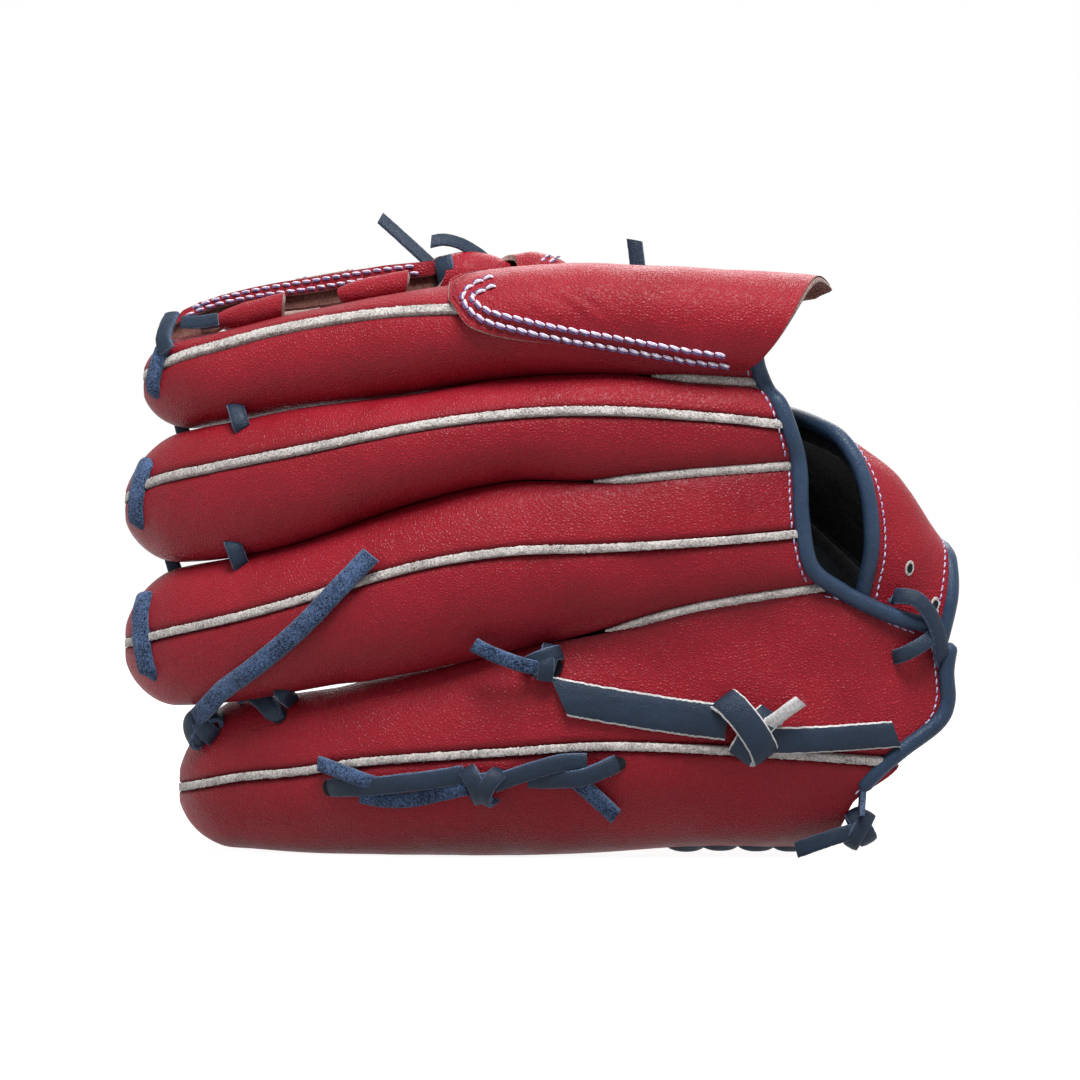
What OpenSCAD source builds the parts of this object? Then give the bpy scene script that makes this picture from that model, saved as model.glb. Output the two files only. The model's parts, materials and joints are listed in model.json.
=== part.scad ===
// A five-finger ball glove for the left hand, standing on its little-finger edge.
// X runs from the fingertips to the wrist, Y from the back of the hand through the
// pocket to the thumb, and Z up. Sizes are in millimetres.

/* [Overall size] */
// Stretch of the whole glove from the fingertips to the wrist
length_scale = 1; // [0.8:0.01:1.25]
// Stretch of the whole glove from its bottom edge to the top of the web
height_scale = 1; // [0.8:0.01:1.25]
// Stretch of the whole glove from the back of the hand to the thumb
depth_scale = 1; // [0.8:0.01:1.25]

/* [Leather] */
// Thickness of the leather on the backs and fronts of the fingers
shell_t = 2.6; // [1.6:0.1:4]
// Thickness of the palm leather
palm_t = 2.8; // [1.8:0.1:4]
// Thickness of the felt pad under the palm leather
pad_t = 4.6; // [2:0.1:6]
// Thickness of the lining that the hand touches
lining_t = 1.4; // [0.8:0.1:2.5]
// Thickness of the wrist strap
strap_t = 3; // [2:0.1:4.5]
// Thickness of the fleece under the wrist strap
fleece_t = 4; // [1.5:0.1:6]
// Thickness of the web's two layers together
web_t = 4.4; // [2.5:0.1:6]

/* [Trim] */
// Width of the split-leather welting along each finger
welt_w = 2.8; // [1.8:0.1:4.5]
// Height of the welting above the panels
welt_proud = 0.9; // [0.3:0.1:2]
// Radius of the rolled binding along the edges
binding_r = 2.7; // [1.8:0.1:3.6]
// Width of the lacing
lace_w = 7.5; // [5:0.1:9]
// Thickness of the lacing
lace_t = 1.9; // [1.2:0.1:2.8]
// Width of the wide tie of the lining
tie_w = 11; // [8:0.1:13]

/* [Web and loops] */
// Outer radius of the rolled tabs that the web hangs from
tab_r = 4.7; // [4:0.1:5.5]
// Wall of the rolled tabs and loops
tab_wall = 1.9; // [1.2:0.1:2.4]
// Length of a rolled tab
tab_len = 22; // [14:0.5:26]
// Outer radius of the rolled loop at the foot of the web
base_loop_r = 7.4; // [6:0.1:8]
// Outer radius of the loop in the crotch of thumb and finger
crotch_loop_r = 6.8; // [5.5:0.1:7]

/* [Clearances] */
// Clearance between two pieces that lie on each other
gap = 0.3; // [0.2:0.05:0.6]
// Clearance between neighbouring fingers, on each side
finger_gap = 0.3; // [0.2:0.05:1]

/* [Hidden] */

red_leather = "#b3202f";
navy_leather = "#2e4057";
welt_leather = "#c9c2bc";
black_fleece = "#1c2028";
felt = "#d6ccb8";

// The glove's middle in its drawing coordinates
centre_x = -1.7;
centre_y = 63.4;

// Rows of a finger: x, y of the back, y of the front, then y and z of the lower
// edge, z of the welt, and y and z of the upper edge
index_rows = [
    [-143, 66, 92, 79, 150, 173, 79, 185], [-120, 52, 80, 67, 151, 178, 67, 184],
    [-90, 38, 67, 53, 156, 185, 53, 190], [-50, 22, 54, 39, 161, 190, 38, 197],
    [-10, 11, 48, 28, 167, 190, 31, 202], [20, 9, 47, 19, 168, 187, 31, 202],
    [55, 9, 47, 13, 166, 180, 31, 198], [104, 14, 50, 18, 163, 170, 34, 193],
];
middle_rows = [
    [-150, 70, 98, 84, 104, 130, 84, 142], [-128, 52, 80, 67, 103, 134, 67, 149],
    [-106, 38, 68, 54, 105, 138, 54, 153], [-84, 28, 58, 44, 110, 142, 44, 157],
    [-42, 13, 48, 30, 124, 150, 32, 162], [-10, 7, 45, 21, 131, 154, 28, 167],
    [20, 3, 44, 12, 131, 155, 19, 168], [55, 3, 45, 8, 134, 153, 13, 166],
    [96, 9, 49, 13, 137, 149, 16, 163],
];
ring_rows = [
    [-150, 70, 98, 84, 52, 74, 84, 95], [-128, 52, 80, 67, 52, 79, 67, 101],
    [-106, 38, 68, 54, 54, 84, 54, 105], [-84, 28, 58, 44, 58, 90, 44, 110],
    [-42, 13, 49, 30, 66, 102, 30, 124], [-10, 7, 45, 25, 73, 107, 21, 131],
    [20, 4, 44, 16, 79, 108, 12, 131], [55, 4, 46, 12, 88, 110, 8, 134],
    [100, 12, 50, 17, 95, 114, 13, 137],
];
pinky_rows = [
    [-130, 62, 92, 82, 1, 22, 78, 44], [-108, 50, 80, 72, 1, 27, 66, 54],
    [-84, 38, 70, 60, 0.1, 30, 54, 57], [-60, 27, 60, 52, 0.1, 34, 43, 61],
    [-10, 15, 54, 47, 0.1, 38, 25, 72], [20, 12, 56, 47, 1, 40, 16, 79],
    [55, 12, 60, 50, 3, 39, 12, 88], [98, 15, 64, 54, 3, 36, 17, 94],
    [124, 20, 66, 56, 8, 34, 20, 83], [142, 24, 66, 54, 16, 34, 24, 77],
];
thumb_rows = [
    [-104, 119, 92, 105, 148, 168, 105, 182], [-80, 122, 90, 106, 142, 167, 106, 188],
    [-40, 126, 90, 109, 138, 166, 107, 191], [0, 127, 92, 110, 130, 160, 105, 190],
    [40, 126, 91, 110, 110, 142, 101, 180], [80, 122, 90, 108, 86, 116, 94, 152],
    [110, 116, 88, 104, 62, 92, 90, 128], [132, 110, 86, 98, 46, 76, 86, 108],
];
fingers = [index_rows, middle_rows, ring_rows, pinky_rows, thumb_rows];
INDEX = 0;
MIDDLE = 1;
RING = 2;
PINKY = 3;
THUMB = 4;

// Where each finger's back panels end, as rows of place across the panel and x
panel_ends = [
    [[-1, 73], [0, 70], [1, 69]],
    [[-1, 86], [0, 82], [1, 74]],
    [[-1, 94], [0, 87], [1, 86]],
    [[-1, 90], [-0.7, 103], [-0.4, 109], [-0.15, 121], [0.1, 136], [0.5, 137], [1, 134]],
    [[-1, 118], [0, 127], [1, 128]],
];
// Where the fronts of the fingers stop and the palm begins
crotch_x = -20;
// Length of the rounded nose of a finger
nose_len = 21;
// Where the three short welts between the fingers begin
short_welt_x = [30, 10, 14];
short_welt_run = 24;
// Part of that run where the gap is wide enough for the welt itself
short_welt_start = 0.35;

// Rows of the palm leather: x, then y and z of nine places between the little
// finger's edge and the thumb's edge. The sixth lies on the fold.
palm_rows = [
    [-20, 54, 7, 54, 30, 48, 80, 46, 130, 52, 176, 68, 190, 83, 188, 91, 176, 94, 156],
    [0, 54, 7, 53, 30, 48, 78, 46, 124, 52, 168, 68, 183, 84, 180, 92, 168, 95, 150],
    [30, 57, 8, 54, 28, 49, 70, 47, 112, 54, 152, 69, 168, 83, 164, 91, 152, 94, 136],
    [60, 60, 9, 58, 26, 51, 60, 50, 96, 56, 128, 70, 145, 82, 140, 90, 128, 93, 112],
    [90, 64, 9, 63, 24, 55, 50, 54, 78, 59, 103, 70, 119, 81, 114, 88, 102, 91, 88],
    [130, 66, 15, 66, 26, 60, 42, 59, 56, 63, 70, 71, 81, 79, 78, 85, 68, 88, 56],
];
// Where the palm ends at the heel, as rows of place across the palm and x
palm_ends = [
    [0, 88], [0.1, 100], [0.2, 111], [0.3, 121], [0.4, 127], [0.5, 128],
    [0.6, 122], [0.7, 126], [0.8, 126], [0.9, 121], [1, 114],
];
// Place of the fold across the palm, and half the width of the soft fold strip
fold_v = 0.6;
fold_half = 0.03;

// Rows of the gusset between the first finger and the thumb: x, then y and z of
// five places across it
gusset_rows = [
    [-12, 33, 202.6, 50, 199.4, 69, 198, 88, 195, 104, 191],
    [20, 33, 202.6, 50, 196.4, 69, 191, 86, 187, 101, 186],
    [50, 34, 200, 50, 182, 69, 175, 84, 174, 98, 175],
    [74, 36, 198, 50, 170, 69, 159, 82, 157, 93, 158],
];
gusset_fold = 0.5;
gusset_half = 0.035;

// Edges and crown of the wrist strap, from its laced end over the fold to the thumb
strap_finger_edge = [
    [109, 22.8, 74], [112, 22.4, 92], [115, 19, 110], [113, 19, 131], [106, 25, 146],
    [96, 36, 153], [86, 54, 157], [84, 74, 156], [86.2, 92, 149.2],
];
strap_crown = [
    [124, 26.4, 72], [128, 25.4, 91], [131, 25, 107], [130, 30, 122], [126, 38, 132],
    [120, 48, 137], [113, 62, 139], [110, 76, 137], [107.5, 90, 131.7],
];
strap_wrist_edge = [
    [138, 29.5, 70], [143, 30, 90], [144, 36, 103], [143, 44, 108], [141, 54, 110],
    [138, 64, 111], [135, 72, 112], [132, 79, 111], [129, 85.6, 109.2],
];

// Rows of the web: x, then y and z of five places from the finger to the thumb
web_rows = [
    [-136, 79, 185, 81, 190.5, 90, 191, 100, 188, 107, 182],
    [-120, 75, 192, 78, 197.5, 89, 196, 101, 193, 108.5, 188.5],
    [-102, 70.5, 195.5, 73, 202, 87, 199, 101, 196.5, 109, 192],
    [-84, 65, 197, 67.5, 205, 84, 201.5, 101, 198.5, 109, 193.5],
    [-58, 56, 200.5, 58.5, 208.5, 79, 205, 99, 201.5, 108, 196],
    [-37, 53, 203, 55.5, 210.5, 77, 206, 97, 203, 107, 197],
];
// How far the thumb's side of the web starts behind the finger's side
web_slant = 34;

// ---- Functions ----

function mix(a, b, t) = a + (b - a) * t;
function unit(v) = v / max(norm(v), 1e-9);
function smoothstep(t) = let (c = max(0, min(1, t))) c * c * (3 - 2 * c);

// The rows are smooth curves in their first column
function row_index(rows, x, i = 0) =
    i >= len(rows) - 2 || x < rows[i + 1][0] ? i : row_index(rows, x, i + 1);
function row_slope(rows, i) =
    let (a = rows[max(i - 1, 0)], b = rows[min(i + 1, len(rows) - 1)])
    (b - a) / (b[0] - a[0]);
function row_at(rows, x) =
    let (i = row_index(rows, x), a = rows[i], b = rows[i + 1], h = b[0] - a[0], t = (x - a[0]) / h)
    (2 * t ^ 3 - 3 * t ^ 2 + 1) * a + (t ^ 3 - 2 * t ^ 2 + t) * h * row_slope(rows, i)
    + (3 * t ^ 2 - 2 * t ^ 3) * b + (t ^ 3 - t ^ 2) * h * row_slope(rows, i + 1);

// A place on a smooth curve through points, where t is 0 at the first and 1 at the last
function curve_at(points, t) =
    let (
        last = len(points) - 1,
        i = min(floor(t * last), last - 1),
        s = t * last - i,
        a = points[max(i - 1, 0)],
        b = points[i],
        c = points[i + 1],
        d = points[min(i + 2, last)]
    )
    0.5 * (2 * b + (c - a) * s + (2 * a - 5 * b + 4 * c - d) * s ^ 2 + (3 * b - a - 3 * c + d) * s ^ 3);
function smooth_path(points, count) = [for (i = [0 : count]) curve_at(points, i / count)];

// Room that a finger leaves at an edge for its neighbour and the short welt between them
function edge_room(f, x, lower) =
    let (k = lower ? f : f - 1)
    k >= 0 && k <= 2 ? finger_gap + smoothstep((x - short_welt_x[k]) / short_welt_run) * welt_w / 2 : 0;
// A finger's section at x, with its nose rounded and its gap to the next finger:
// [back y, front y, lower y, lower z, welt z, upper y, upper z]
function section(f, x) =
    let (
        r = row_at(fingers[f], x),
        s = (x - fingers[f][0][0]) / nose_len,
        k = s >= 1 ? 1 : sqrt(max(1 - (1 - s) ^ 2, 0.01)),
        y_mid = (r[1] + r[2]) / 2,
        z_mid = (r[4] + r[7]) / 2,
        z_low = r[4] + edge_room(f, x, true),
        z_high = r[7] - edge_room(f, x, false)
    )
    [
        mix(y_mid, r[1], k), mix(y_mid, r[2], k), mix(y_mid, r[3], k), mix(z_mid, z_low, k),
        mix(z_mid, r[5], k), mix(y_mid, r[6], k), mix(z_mid, z_high, k),
    ];

// Part of a finger's half height that a layer inside it may take at the tip
thinnest = 0.85;
// A point of a finger at x, where u runs from -1 at its lower edge to 1 at its upper
// edge, lifted out of the surface. The front faces the pocket, and its edges stay
// a gap away from the back's.
function finger_point(f, x, u, lift = 0, front = false) =
    let (
        c = section(f, x),
        side = sign(c[1] - c[0]) * (front ? -1 : 1),
        crest = front ? c[1] : c[0],
        edge = (u < 0 ? c[2] : c[5]) - (front ? side * gap : 0),
        half = (c[6] - c[3]) / 2,
        reach = max(lift, -thinnest * half),
        rise = max(lift, -thinnest * abs(edge - crest) - 2)
    )
    [
        x,
        mix(crest, edge, 1 - cos(90 * u)) - side * rise * cos(90 * u),
        (c[6] + c[3]) / 2 + (half + reach) * sin(90 * u),
    ];
// The place across a finger's back that is at height z
function place_of(f, x, z) =
    let (c = section(f, x), half = (c[6] - c[3]) / 2)
    asin(max(-0.98, min(0.98, (z - (c[6] + c[3]) / 2) / half))) / 90;
function welt_z(f, x) = section(f, x)[4];
function on_back(f, x, z, lift) = finger_point(f, x, place_of(f, x, z), lift);
function back_normal(f, x, z) = unit(on_back(f, x, z, 1) - on_back(f, x, z, 0));

// A point on rows of places at x, where v runs from 0 at the first place to 1 at the last
function row_places(rows, x) =
    let (r = row_at(rows, x))
    [for (i = [1 : 2 : len(r) - 1]) [x, r[i], r[i + 1]]];
function across_normal(places, v) =
    let (d = curve_at(places, min(v + 0.01, 1)) - curve_at(places, max(v - 0.01, 0)))
    unit([0, -d[2], d[1]]);
// The palm runs from the little finger's seam, over the fold, to the thumb's seam.
// A depth is measured behind the leather's face.
seam_room = 2.6;
function palm_places(x) =
    let (pinky = section(PINKY, x), thumb = section(THUMB, x))
    concat(
        [[x, pinky[2] + seam_room, pinky[3] + gap]],
        row_places(palm_rows, x),
        [[x, thumb[2] - seam_room - 2 * gap, thumb[3]]]
    );
function palm_point(x, v, depth) =
    let (places = palm_places(x)) curve_at(places, v) + depth * across_normal(places, v);
function gusset_point(x, v, depth) =
    let (places = row_places(gusset_rows, x)) curve_at(places, v) - depth * across_normal(places, v);
function web_point(x, v, depth) =
    let (places = row_places(web_rows, x)) curve_at(places, v) - depth * across_normal(places, v);

// A grid of points lifted along its own normals
function grid_normal(g, i, j) =
    let (
        a = g[min(i + 1, len(g) - 1)][j] - g[max(i - 1, 0)][j],
        b = g[i][min(j + 1, len(g[0]) - 1)] - g[i][max(j - 1, 0)]
    )
    unit(cross(a, b));
function lifted(g, d) = [
    for (i = [0 : len(g) - 1])
        [for (j = [0 : len(g[0]) - 1]) g[i][j] + d * grid_normal(g, i, j)]
];

// ---- Building blocks ----

// Sets a piece in the glove's own frame: its origin is under the middle of the glove
module place() {
    translate([-centre_x * length_scale, -centre_y * depth_scale, 0]) children();
}
function sized(points) =
    [for (p = points) [p[0] * length_scale, p[1] * depth_scale, p[2] * height_scale]];

// A closed sheet between two grids of points
module sheet(outer, inner) {
    n = len(outer);
    m = len(outer[0]);
    half = n * m;
    i_mid = floor(n / 2);
    j_mid = floor(m / 2);
    out = outer[i_mid][j_mid] - inner[i_mid][j_mid];
    across = cross(
        outer[i_mid][j_mid] - outer[i_mid - 1][j_mid],
        outer[i_mid][j_mid] - outer[i_mid][j_mid - 1]
    );
    rim = concat(
        [for (i = [0 : n - 2]) i * m],
        [for (j = [0 : m - 2]) (n - 1) * m + j],
        [for (i = [n - 1 : -1 : 1]) i * m + m - 1],
        [for (j = [m - 1 : -1 : 1]) j]
    );
    count = len(rim);
    faces = concat(
        [for (i = [0 : n - 2]) for (j = [0 : m - 2]) each
            [[i * m + j, i * m + j + 1, (i + 1) * m + j + 1],
             [i * m + j, (i + 1) * m + j + 1, (i + 1) * m + j]]],
        [for (i = [0 : n - 2]) for (j = [0 : m - 2]) each
            [[half + i * m + j, half + (i + 1) * m + j + 1, half + i * m + j + 1],
             [half + i * m + j, half + (i + 1) * m + j, half + (i + 1) * m + j + 1]]],
        [for (k = [0 : count - 1]) each
            [[rim[k], rim[(k + 1) % count], half + rim[(k + 1) % count]],
             [rim[k], half + rim[(k + 1) % count], half + rim[k]]]]
    );
    place() polyhedron(
        points = sized(concat([for (r = outer) each r], [for (r = inner) each r])),
        faces = out * across > 0 ? faces : [for (f = faces) [f[0], f[2], f[1]]],
        convexity = 6
    );
}

// A closed tube through rings of points
module tube(rings) {
    n = len(rings);
    m = len(rings[0]);
    place() polyhedron(
        points = sized(concat([for (r = rings) each r])),
        faces = concat(
            [[for (j = [m - 1 : -1 : 0]) j]],
            [for (i = [0 : n - 2]) for (j = [0 : m - 1]) each
                [[i * m + j, i * m + (j + 1) % m, (i + 1) * m + (j + 1) % m],
                 [i * m + j, (i + 1) * m + (j + 1) % m, (i + 1) * m + j]]],
            [[for (j = [0 : m - 1]) (n - 1) * m + j]]
        ),
        convexity = 6
    );
}

function tangent(path, i) = unit(path[min(i + 1, len(path) - 1)] - path[max(i - 1, 0)]);

// A flat lace along a path, lying on the side that the normals point away from
module lace(path, normals, width = lace_w, thick = lace_t) {
    tube([
        for (i = [0 : len(path) - 1])
            let (
                side = unit(cross(tangent(path, i), normals[i])) * width / 2,
                up = normals[i] * thick
            )
            [path[i] - side, path[i] + side, path[i] + side + up, path[i] - side + up]
    ]);
}

// A round strand along a path
module strand(path, r, sides = 8) {
    up = [0.13, 0.21, 0.97];
    tube([
        for (i = [0 : len(path) - 1])
            let (a = unit(cross(tangent(path, i), up)), b = cross(tangent(path, i), a))
            [
                for (k = [0 : sides - 1])
                    path[i] + r * (a * cos(360 * k / sides) - b * sin(360 * k / sides))
            ]
    ]);
}

// A lace that lies on a finger's back, through places of x, z and lift
module lace_on(f, places, count, width = lace_w, thick = lace_t) {
    run = smooth_path(places, count);
    across = 4;
    grids = [
        for (up = [thick, 0]) [
            for (i = [0 : count])
                let (
                    along = tangent([for (p = run) [p[0], p[1], 0]], i),
                    side = [-along[1], along[0]] * width / 2
                )
                [
                    for (j = [0 : across])
                        let (s = 2 * j / across - 1)
                        on_back(f, run[i][0] + side[0] * s, run[i][1] + side[1] * s, run[i][2] + up)
                ]
        ]
    ];
    sheet(grids[0], grids[1]);
}

// A knot: a rounded lump with its three half sizes
module knot(centre, size) {
    rings = 6;
    sides = 8;
    tube([
        for (i = [0 : rings])
            let (a = 12 + 156 * i / rings)
            [for (k = [0 : sides - 1])
                centre + [
                    -size[0] * cos(a),
                    size[1] * sin(a) * cos(360 * k / sides),
                    -size[2] * sin(a) * sin(360 * k / sides),
                ]]
    ]);
}

// ---- Fingers ----

stations = 15;
// Where the panels begin behind the fingertip, and how their stations crowd there
tip_inset = 1;
tip_crowding = 1.5;
// Stations lie closer together at the fingertip
function station(f, i, x_end) =
    mix(fingers[f][0][0] + tip_inset, x_end, (i / stations) ^ tip_crowding);

function panel_grid(f, upper, lift, across = 5) = [
    for (i = [0 : stations]) [
        for (j = [0 : across])
            let (
                edge = upper ? 1 : -1,
                x_rough = station(f, i, panel_ends[f][1][1]),
                u_rough = mix(place_of(f, x_rough, welt_z(f, x_rough)), edge, j / across),
                x = station(f, i, row_at(panel_ends[f], u_rough)[1]),
                room = edge * (welt_w / 2 + 1.5 * gap),
                u = mix(place_of(f, x, welt_z(f, x) + room), edge, j / across)
            )
            finger_point(f, x, u, lift)
    ]
];
module back_panel(f, upper) {
    sheet(panel_grid(f, upper, 0), panel_grid(f, upper, -shell_t));
}

module front_panel(f, x_end) {
    across = 8;
    grids = [
        for (lift = [0, -shell_t]) [
            for (i = [0 : stations]) [
                for (j = [0 : across])
                    finger_point(f, station(f, i, x_end), mix(-1, 1, j / across), lift, true)
            ]
        ]
    ];
    sheet(grids[0], grids[1]);
}

// Where the welt of each finger ends
welt_end_x = [66, 80, 86, 118, 124];
module welt(f) {
    count = 26;
    grids = [
        for (lift = [welt_proud, -shell_t]) [
            for (i = [0 : count])
                let (x = mix(fingers[f][0][0] + tip_inset, welt_end_x[f], (i / count) ^ tip_crowding))
                [
                    for (side = [-1, 1])
                        finger_point(f, x, place_of(f, x, welt_z(f, x) + side * welt_w / 2), lift)
                ]
        ]
    ];
    sheet(grids[0], grids[1]);
}

module short_welt(k) {
    count = 10;
    x_end = panel_ends[k][0][1];
    x_start = short_welt_x[k] + short_welt_run * short_welt_start;
    tube([
        for (i = [0 : count])
            let (
                x = mix(x_start, x_end, i / count),
                r = row_at(fingers[k], x),
                half = max(edge_room(k, x, true) - finger_gap, 0.2),
                y = r[3]
            )
            [
                [x, y - welt_proud / 2, r[4] - half], [x, y - welt_proud / 2, r[4] + half],
                [x, y + shell_t, r[4] + half], [x, y + shell_t, r[4] - half],
            ]
    ]);
}

module index_back_upper() { color(red_leather) back_panel(INDEX, true); }
module index_back_lower() { color(red_leather) back_panel(INDEX, false); }
module middle_back_upper() { color(red_leather) back_panel(MIDDLE, true); }
module middle_back_lower() { color(red_leather) back_panel(MIDDLE, false); }
module ring_back_upper() { color(red_leather) back_panel(RING, true); }
module ring_back_lower() { color(red_leather) back_panel(RING, false); }
module pinky_back_upper() { color(red_leather) back_panel(PINKY, true); }
module pinky_back_lower() { color(red_leather) back_panel(PINKY, false); }
module thumb_back_upper() { color(red_leather) back_panel(THUMB, true); }
module thumb_back_lower() { color(red_leather) back_panel(THUMB, false); }
module index_welt() { color(welt_leather) welt(INDEX); }
module middle_welt() { color(welt_leather) welt(MIDDLE); }
module ring_welt() { color(welt_leather) welt(RING); }
module pinky_welt() { color(welt_leather) welt(PINKY); }
module thumb_welt() { color(welt_leather) welt(THUMB); }
module crotch_welts() { color(welt_leather) for (k = [INDEX, MIDDLE, RING]) short_welt(k); }
module index_front() { color(red_leather) front_panel(INDEX, crotch_x - gap); }
module middle_front() { color(red_leather) front_panel(MIDDLE, crotch_x - gap); }
module ring_front() { color(red_leather) front_panel(RING, crotch_x - gap); }
module pinky_front() { color(red_leather) front_panel(PINKY, crotch_x - gap); }
module thumb_front() { color(red_leather) front_panel(THUMB, crotch_x - gap); }

// ---- Palm ----

// A layer of the palm between two depths and two places across it
module palm_layer(v_from, v_to, depth_from, depth_to, x_from, heel_inset, along = 11, across = 10) {
    grids = [
        for (depth = [depth_from, depth_to]) [
            for (i = [0 : along]) [
                for (j = [0 : across])
                    let (
                        v = mix(v_from, v_to, j / across),
                        x = mix(x_from, row_at(palm_ends, v)[1] - heel_inset, i / along)
                    )
                    palm_point(x, v, depth)
            ]
        ]
    ];
    sheet(grids[0], grids[1]);
}
pad_depth = palm_t + gap;
lining_depth = pad_depth + pad_t + gap;
inner_edge = 0.16;
heel_inset = 4;
// Where the pads and linings of the palm and of the thumb begin
palm_pad_x = 2;
thumb_pad_x = 30;

module palm_leather() { color(red_leather) palm_layer(0, fold_v - fold_half, 0, palm_t, crotch_x, 0); }
module palm_pad() {
    color(felt)
        palm_layer(inner_edge, fold_v - 2 * fold_half, pad_depth, pad_depth + pad_t, palm_pad_x,
            heel_inset);
}
module palm_lining() {
    color(black_fleece)
        palm_layer(inner_edge, fold_v - 2 * fold_half, lining_depth, lining_depth + lining_t, palm_pad_x,
            heel_inset);
}
module thumb_palm() { color(red_leather) palm_layer(fold_v + fold_half, 1, 0, palm_t, crotch_x, 0); }
module thumb_pad() {
    color(felt)
        palm_layer(fold_v + 2 * fold_half, 1 - inner_edge, pad_depth, pad_depth + pad_t, thumb_pad_x,
            heel_inset);
}
module thumb_lining() {
    color(black_fleece)
        palm_layer(fold_v + 2 * fold_half, 1 - inner_edge, lining_depth, lining_depth + lining_t,
            thumb_pad_x, heel_inset);
}

// ---- Gusset and fold ----

// Ends of the gusset
gusset_span = [-12, 70];
module gusset_sheet(v_from, v_to, across) {
    along = 8;
    grids = [
        for (depth = [0, shell_t]) [
            for (i = [0 : along]) [
                for (j = [0 : across])
                    gusset_point(
                        mix(gusset_span[0], gusset_span[1], i / along),
                        mix(v_from, v_to, j / across),
                        depth
                    )
            ]
        ]
    ];
    sheet(grids[0], grids[1]);
}
module index_gusset() { color(red_leather) gusset_sheet(0, gusset_fold - gusset_half, 5); }
module thumb_gusset() { color(red_leather) gusset_sheet(gusset_fold + gusset_half, 1, 5); }

// The soft strips of leather that bend where the glove folds, and the seam beside them
fold_seam = 0.004;
module fold_leather() {
    color(red_leather) {
        palm_layer(fold_v - fold_half + fold_seam, fold_v + fold_half - fold_seam, 0, palm_t, crotch_x,
            2, 10, 2);
        gusset_sheet(gusset_fold - gusset_half + fold_seam, gusset_fold + gusset_half - fold_seam, 2);
    }
}

// ---- Index hood ----

// Lower edge of the hood on the first finger, as rows of x and z
hood_edge = [[-33, 194], [-24, 183], [7, 176], [37, 171.5], [69, 168], [104, 166]];
// End of the hood's open mouth, as rows of place across and x
hood_mouth = [[0, 69], [0.5, 88], [1, 102]];
hood_bulge = 10;
hood_tip_x = -31;
hood_length = 130;

hood_t = 2;

module index_hood() {
    along = 12;
    across = 8;
    grids = [
        for (depth = [0, 1]) [
            for (i = [0 : along]) [
                for (j = [0 : across])
                    let (
                        v = j / across,
                        x = mix(hood_tip_x, row_at(hood_mouth, v)[1], i / along),
                        rise = smoothstep((x - hood_tip_x) / hood_length) * hood_bulge * sin(165 * v),
                        u = mix(place_of(INDEX, x, row_at(hood_edge, x)[1]), 1, v),
                        lift = welt_proud + 2 * gap + rise
                    )
                    finger_point(INDEX, x, u, lift + (depth == 0 ? hood_t : 0))
            ]
        ]
    ];
    color(red_leather) sheet(grids[0], grids[1]);
}

// ---- Bindings ----

binding_step = binding_r + gap;
// A place on the binding beyond the end of a finger's back panel
function binding_place(f, u) =
    let (x = row_at(panel_ends[f], u)[1])
    finger_point(f, x, u, -shell_t / 2) + [binding_step + 2 * gap, 0, 0];
opening_path = concat(
    [for (u = [0.4, 0, -0.45, -0.9]) binding_place(INDEX, u)],
    [for (u = [0.85, 0.4, -0.1, -0.8]) binding_place(MIDDLE, u)],
    [for (u = [0.7, 0.1, -0.5]) binding_place(RING, u)],
    [for (x = [102, 110, 118, 126, 134]) finger_point(PINKY, x, 1, 0) + [2, -1, binding_step]]
);
heel_path = concat(
    [finger_point(PINKY, 134, 1, 0) + [8, 1, -2.5]],
    [for (u = [0.45, 0.2, 0.05, -0.1, -0.2]) binding_place(PINKY, u) + [gap, 0, 0]]
);

module opening_binding() { color(navy_leather) strand(smooth_path(opening_path, 30), binding_r); }
module heel_binding() { color(navy_leather) strand(smooth_path(heel_path, 14), binding_r); }

// ---- Wrist strap ----

strap_stations = 18;
function strap_grid(inset) = [
    for (i = [0 : strap_stations])
        let (
            t = i / strap_stations,
            a = curve_at(strap_finger_edge, t),
            b = curve_at(strap_crown, t),
            c = curve_at(strap_wrist_edge, t),
            a_in = a + unit(b - a) * inset,
            c_in = c + unit(b - c) * inset
        )
        [for (j = [0 : 6]) curve_at([a_in, b, c_in], j / 6)]
];
module wrist_strap() {
    grid = strap_grid(binding_step + gap);
    color(red_leather) sheet(grid, lifted(grid, strap_t));
}
module strap_fleece() {
    grid = strap_grid(binding_step * 2);
    color(black_fleece) sheet(lifted(grid, strap_t + gap), lifted(grid, strap_t + gap + fleece_t));
}
module strap_bindings() {
    grid = strap_grid(0);
    color(navy_leather) for (j = [0, len(grid[0]) - 1])
        strand(
            [for (i = [0 : strap_stations]) grid[i][j] + grid_normal(grid, i, j) * strap_t / 2],
            binding_r
        );
}

// ---- Inner pieces ----

module stiffener(f, x_from, x_to) {
    along = 8;
    across = 5;
    inner = -shell_t - 2 * gap;
    grids = [
        for (lift = [inner, inner - 2]) [
            for (i = [0 : along]) [
                for (j = [0 : across])
                    finger_point(f, mix(x_from, x_to, i / along), mix(-0.6, 0.6, j / across), lift)
            ]
        ]
    ];
    color(felt) sheet(grids[0], grids[1]);
}
module pinky_stiffener() { stiffener(PINKY, -108, -15); }
module thumb_stiffener() { stiffener(THUMB, -82, 30); }

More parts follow.
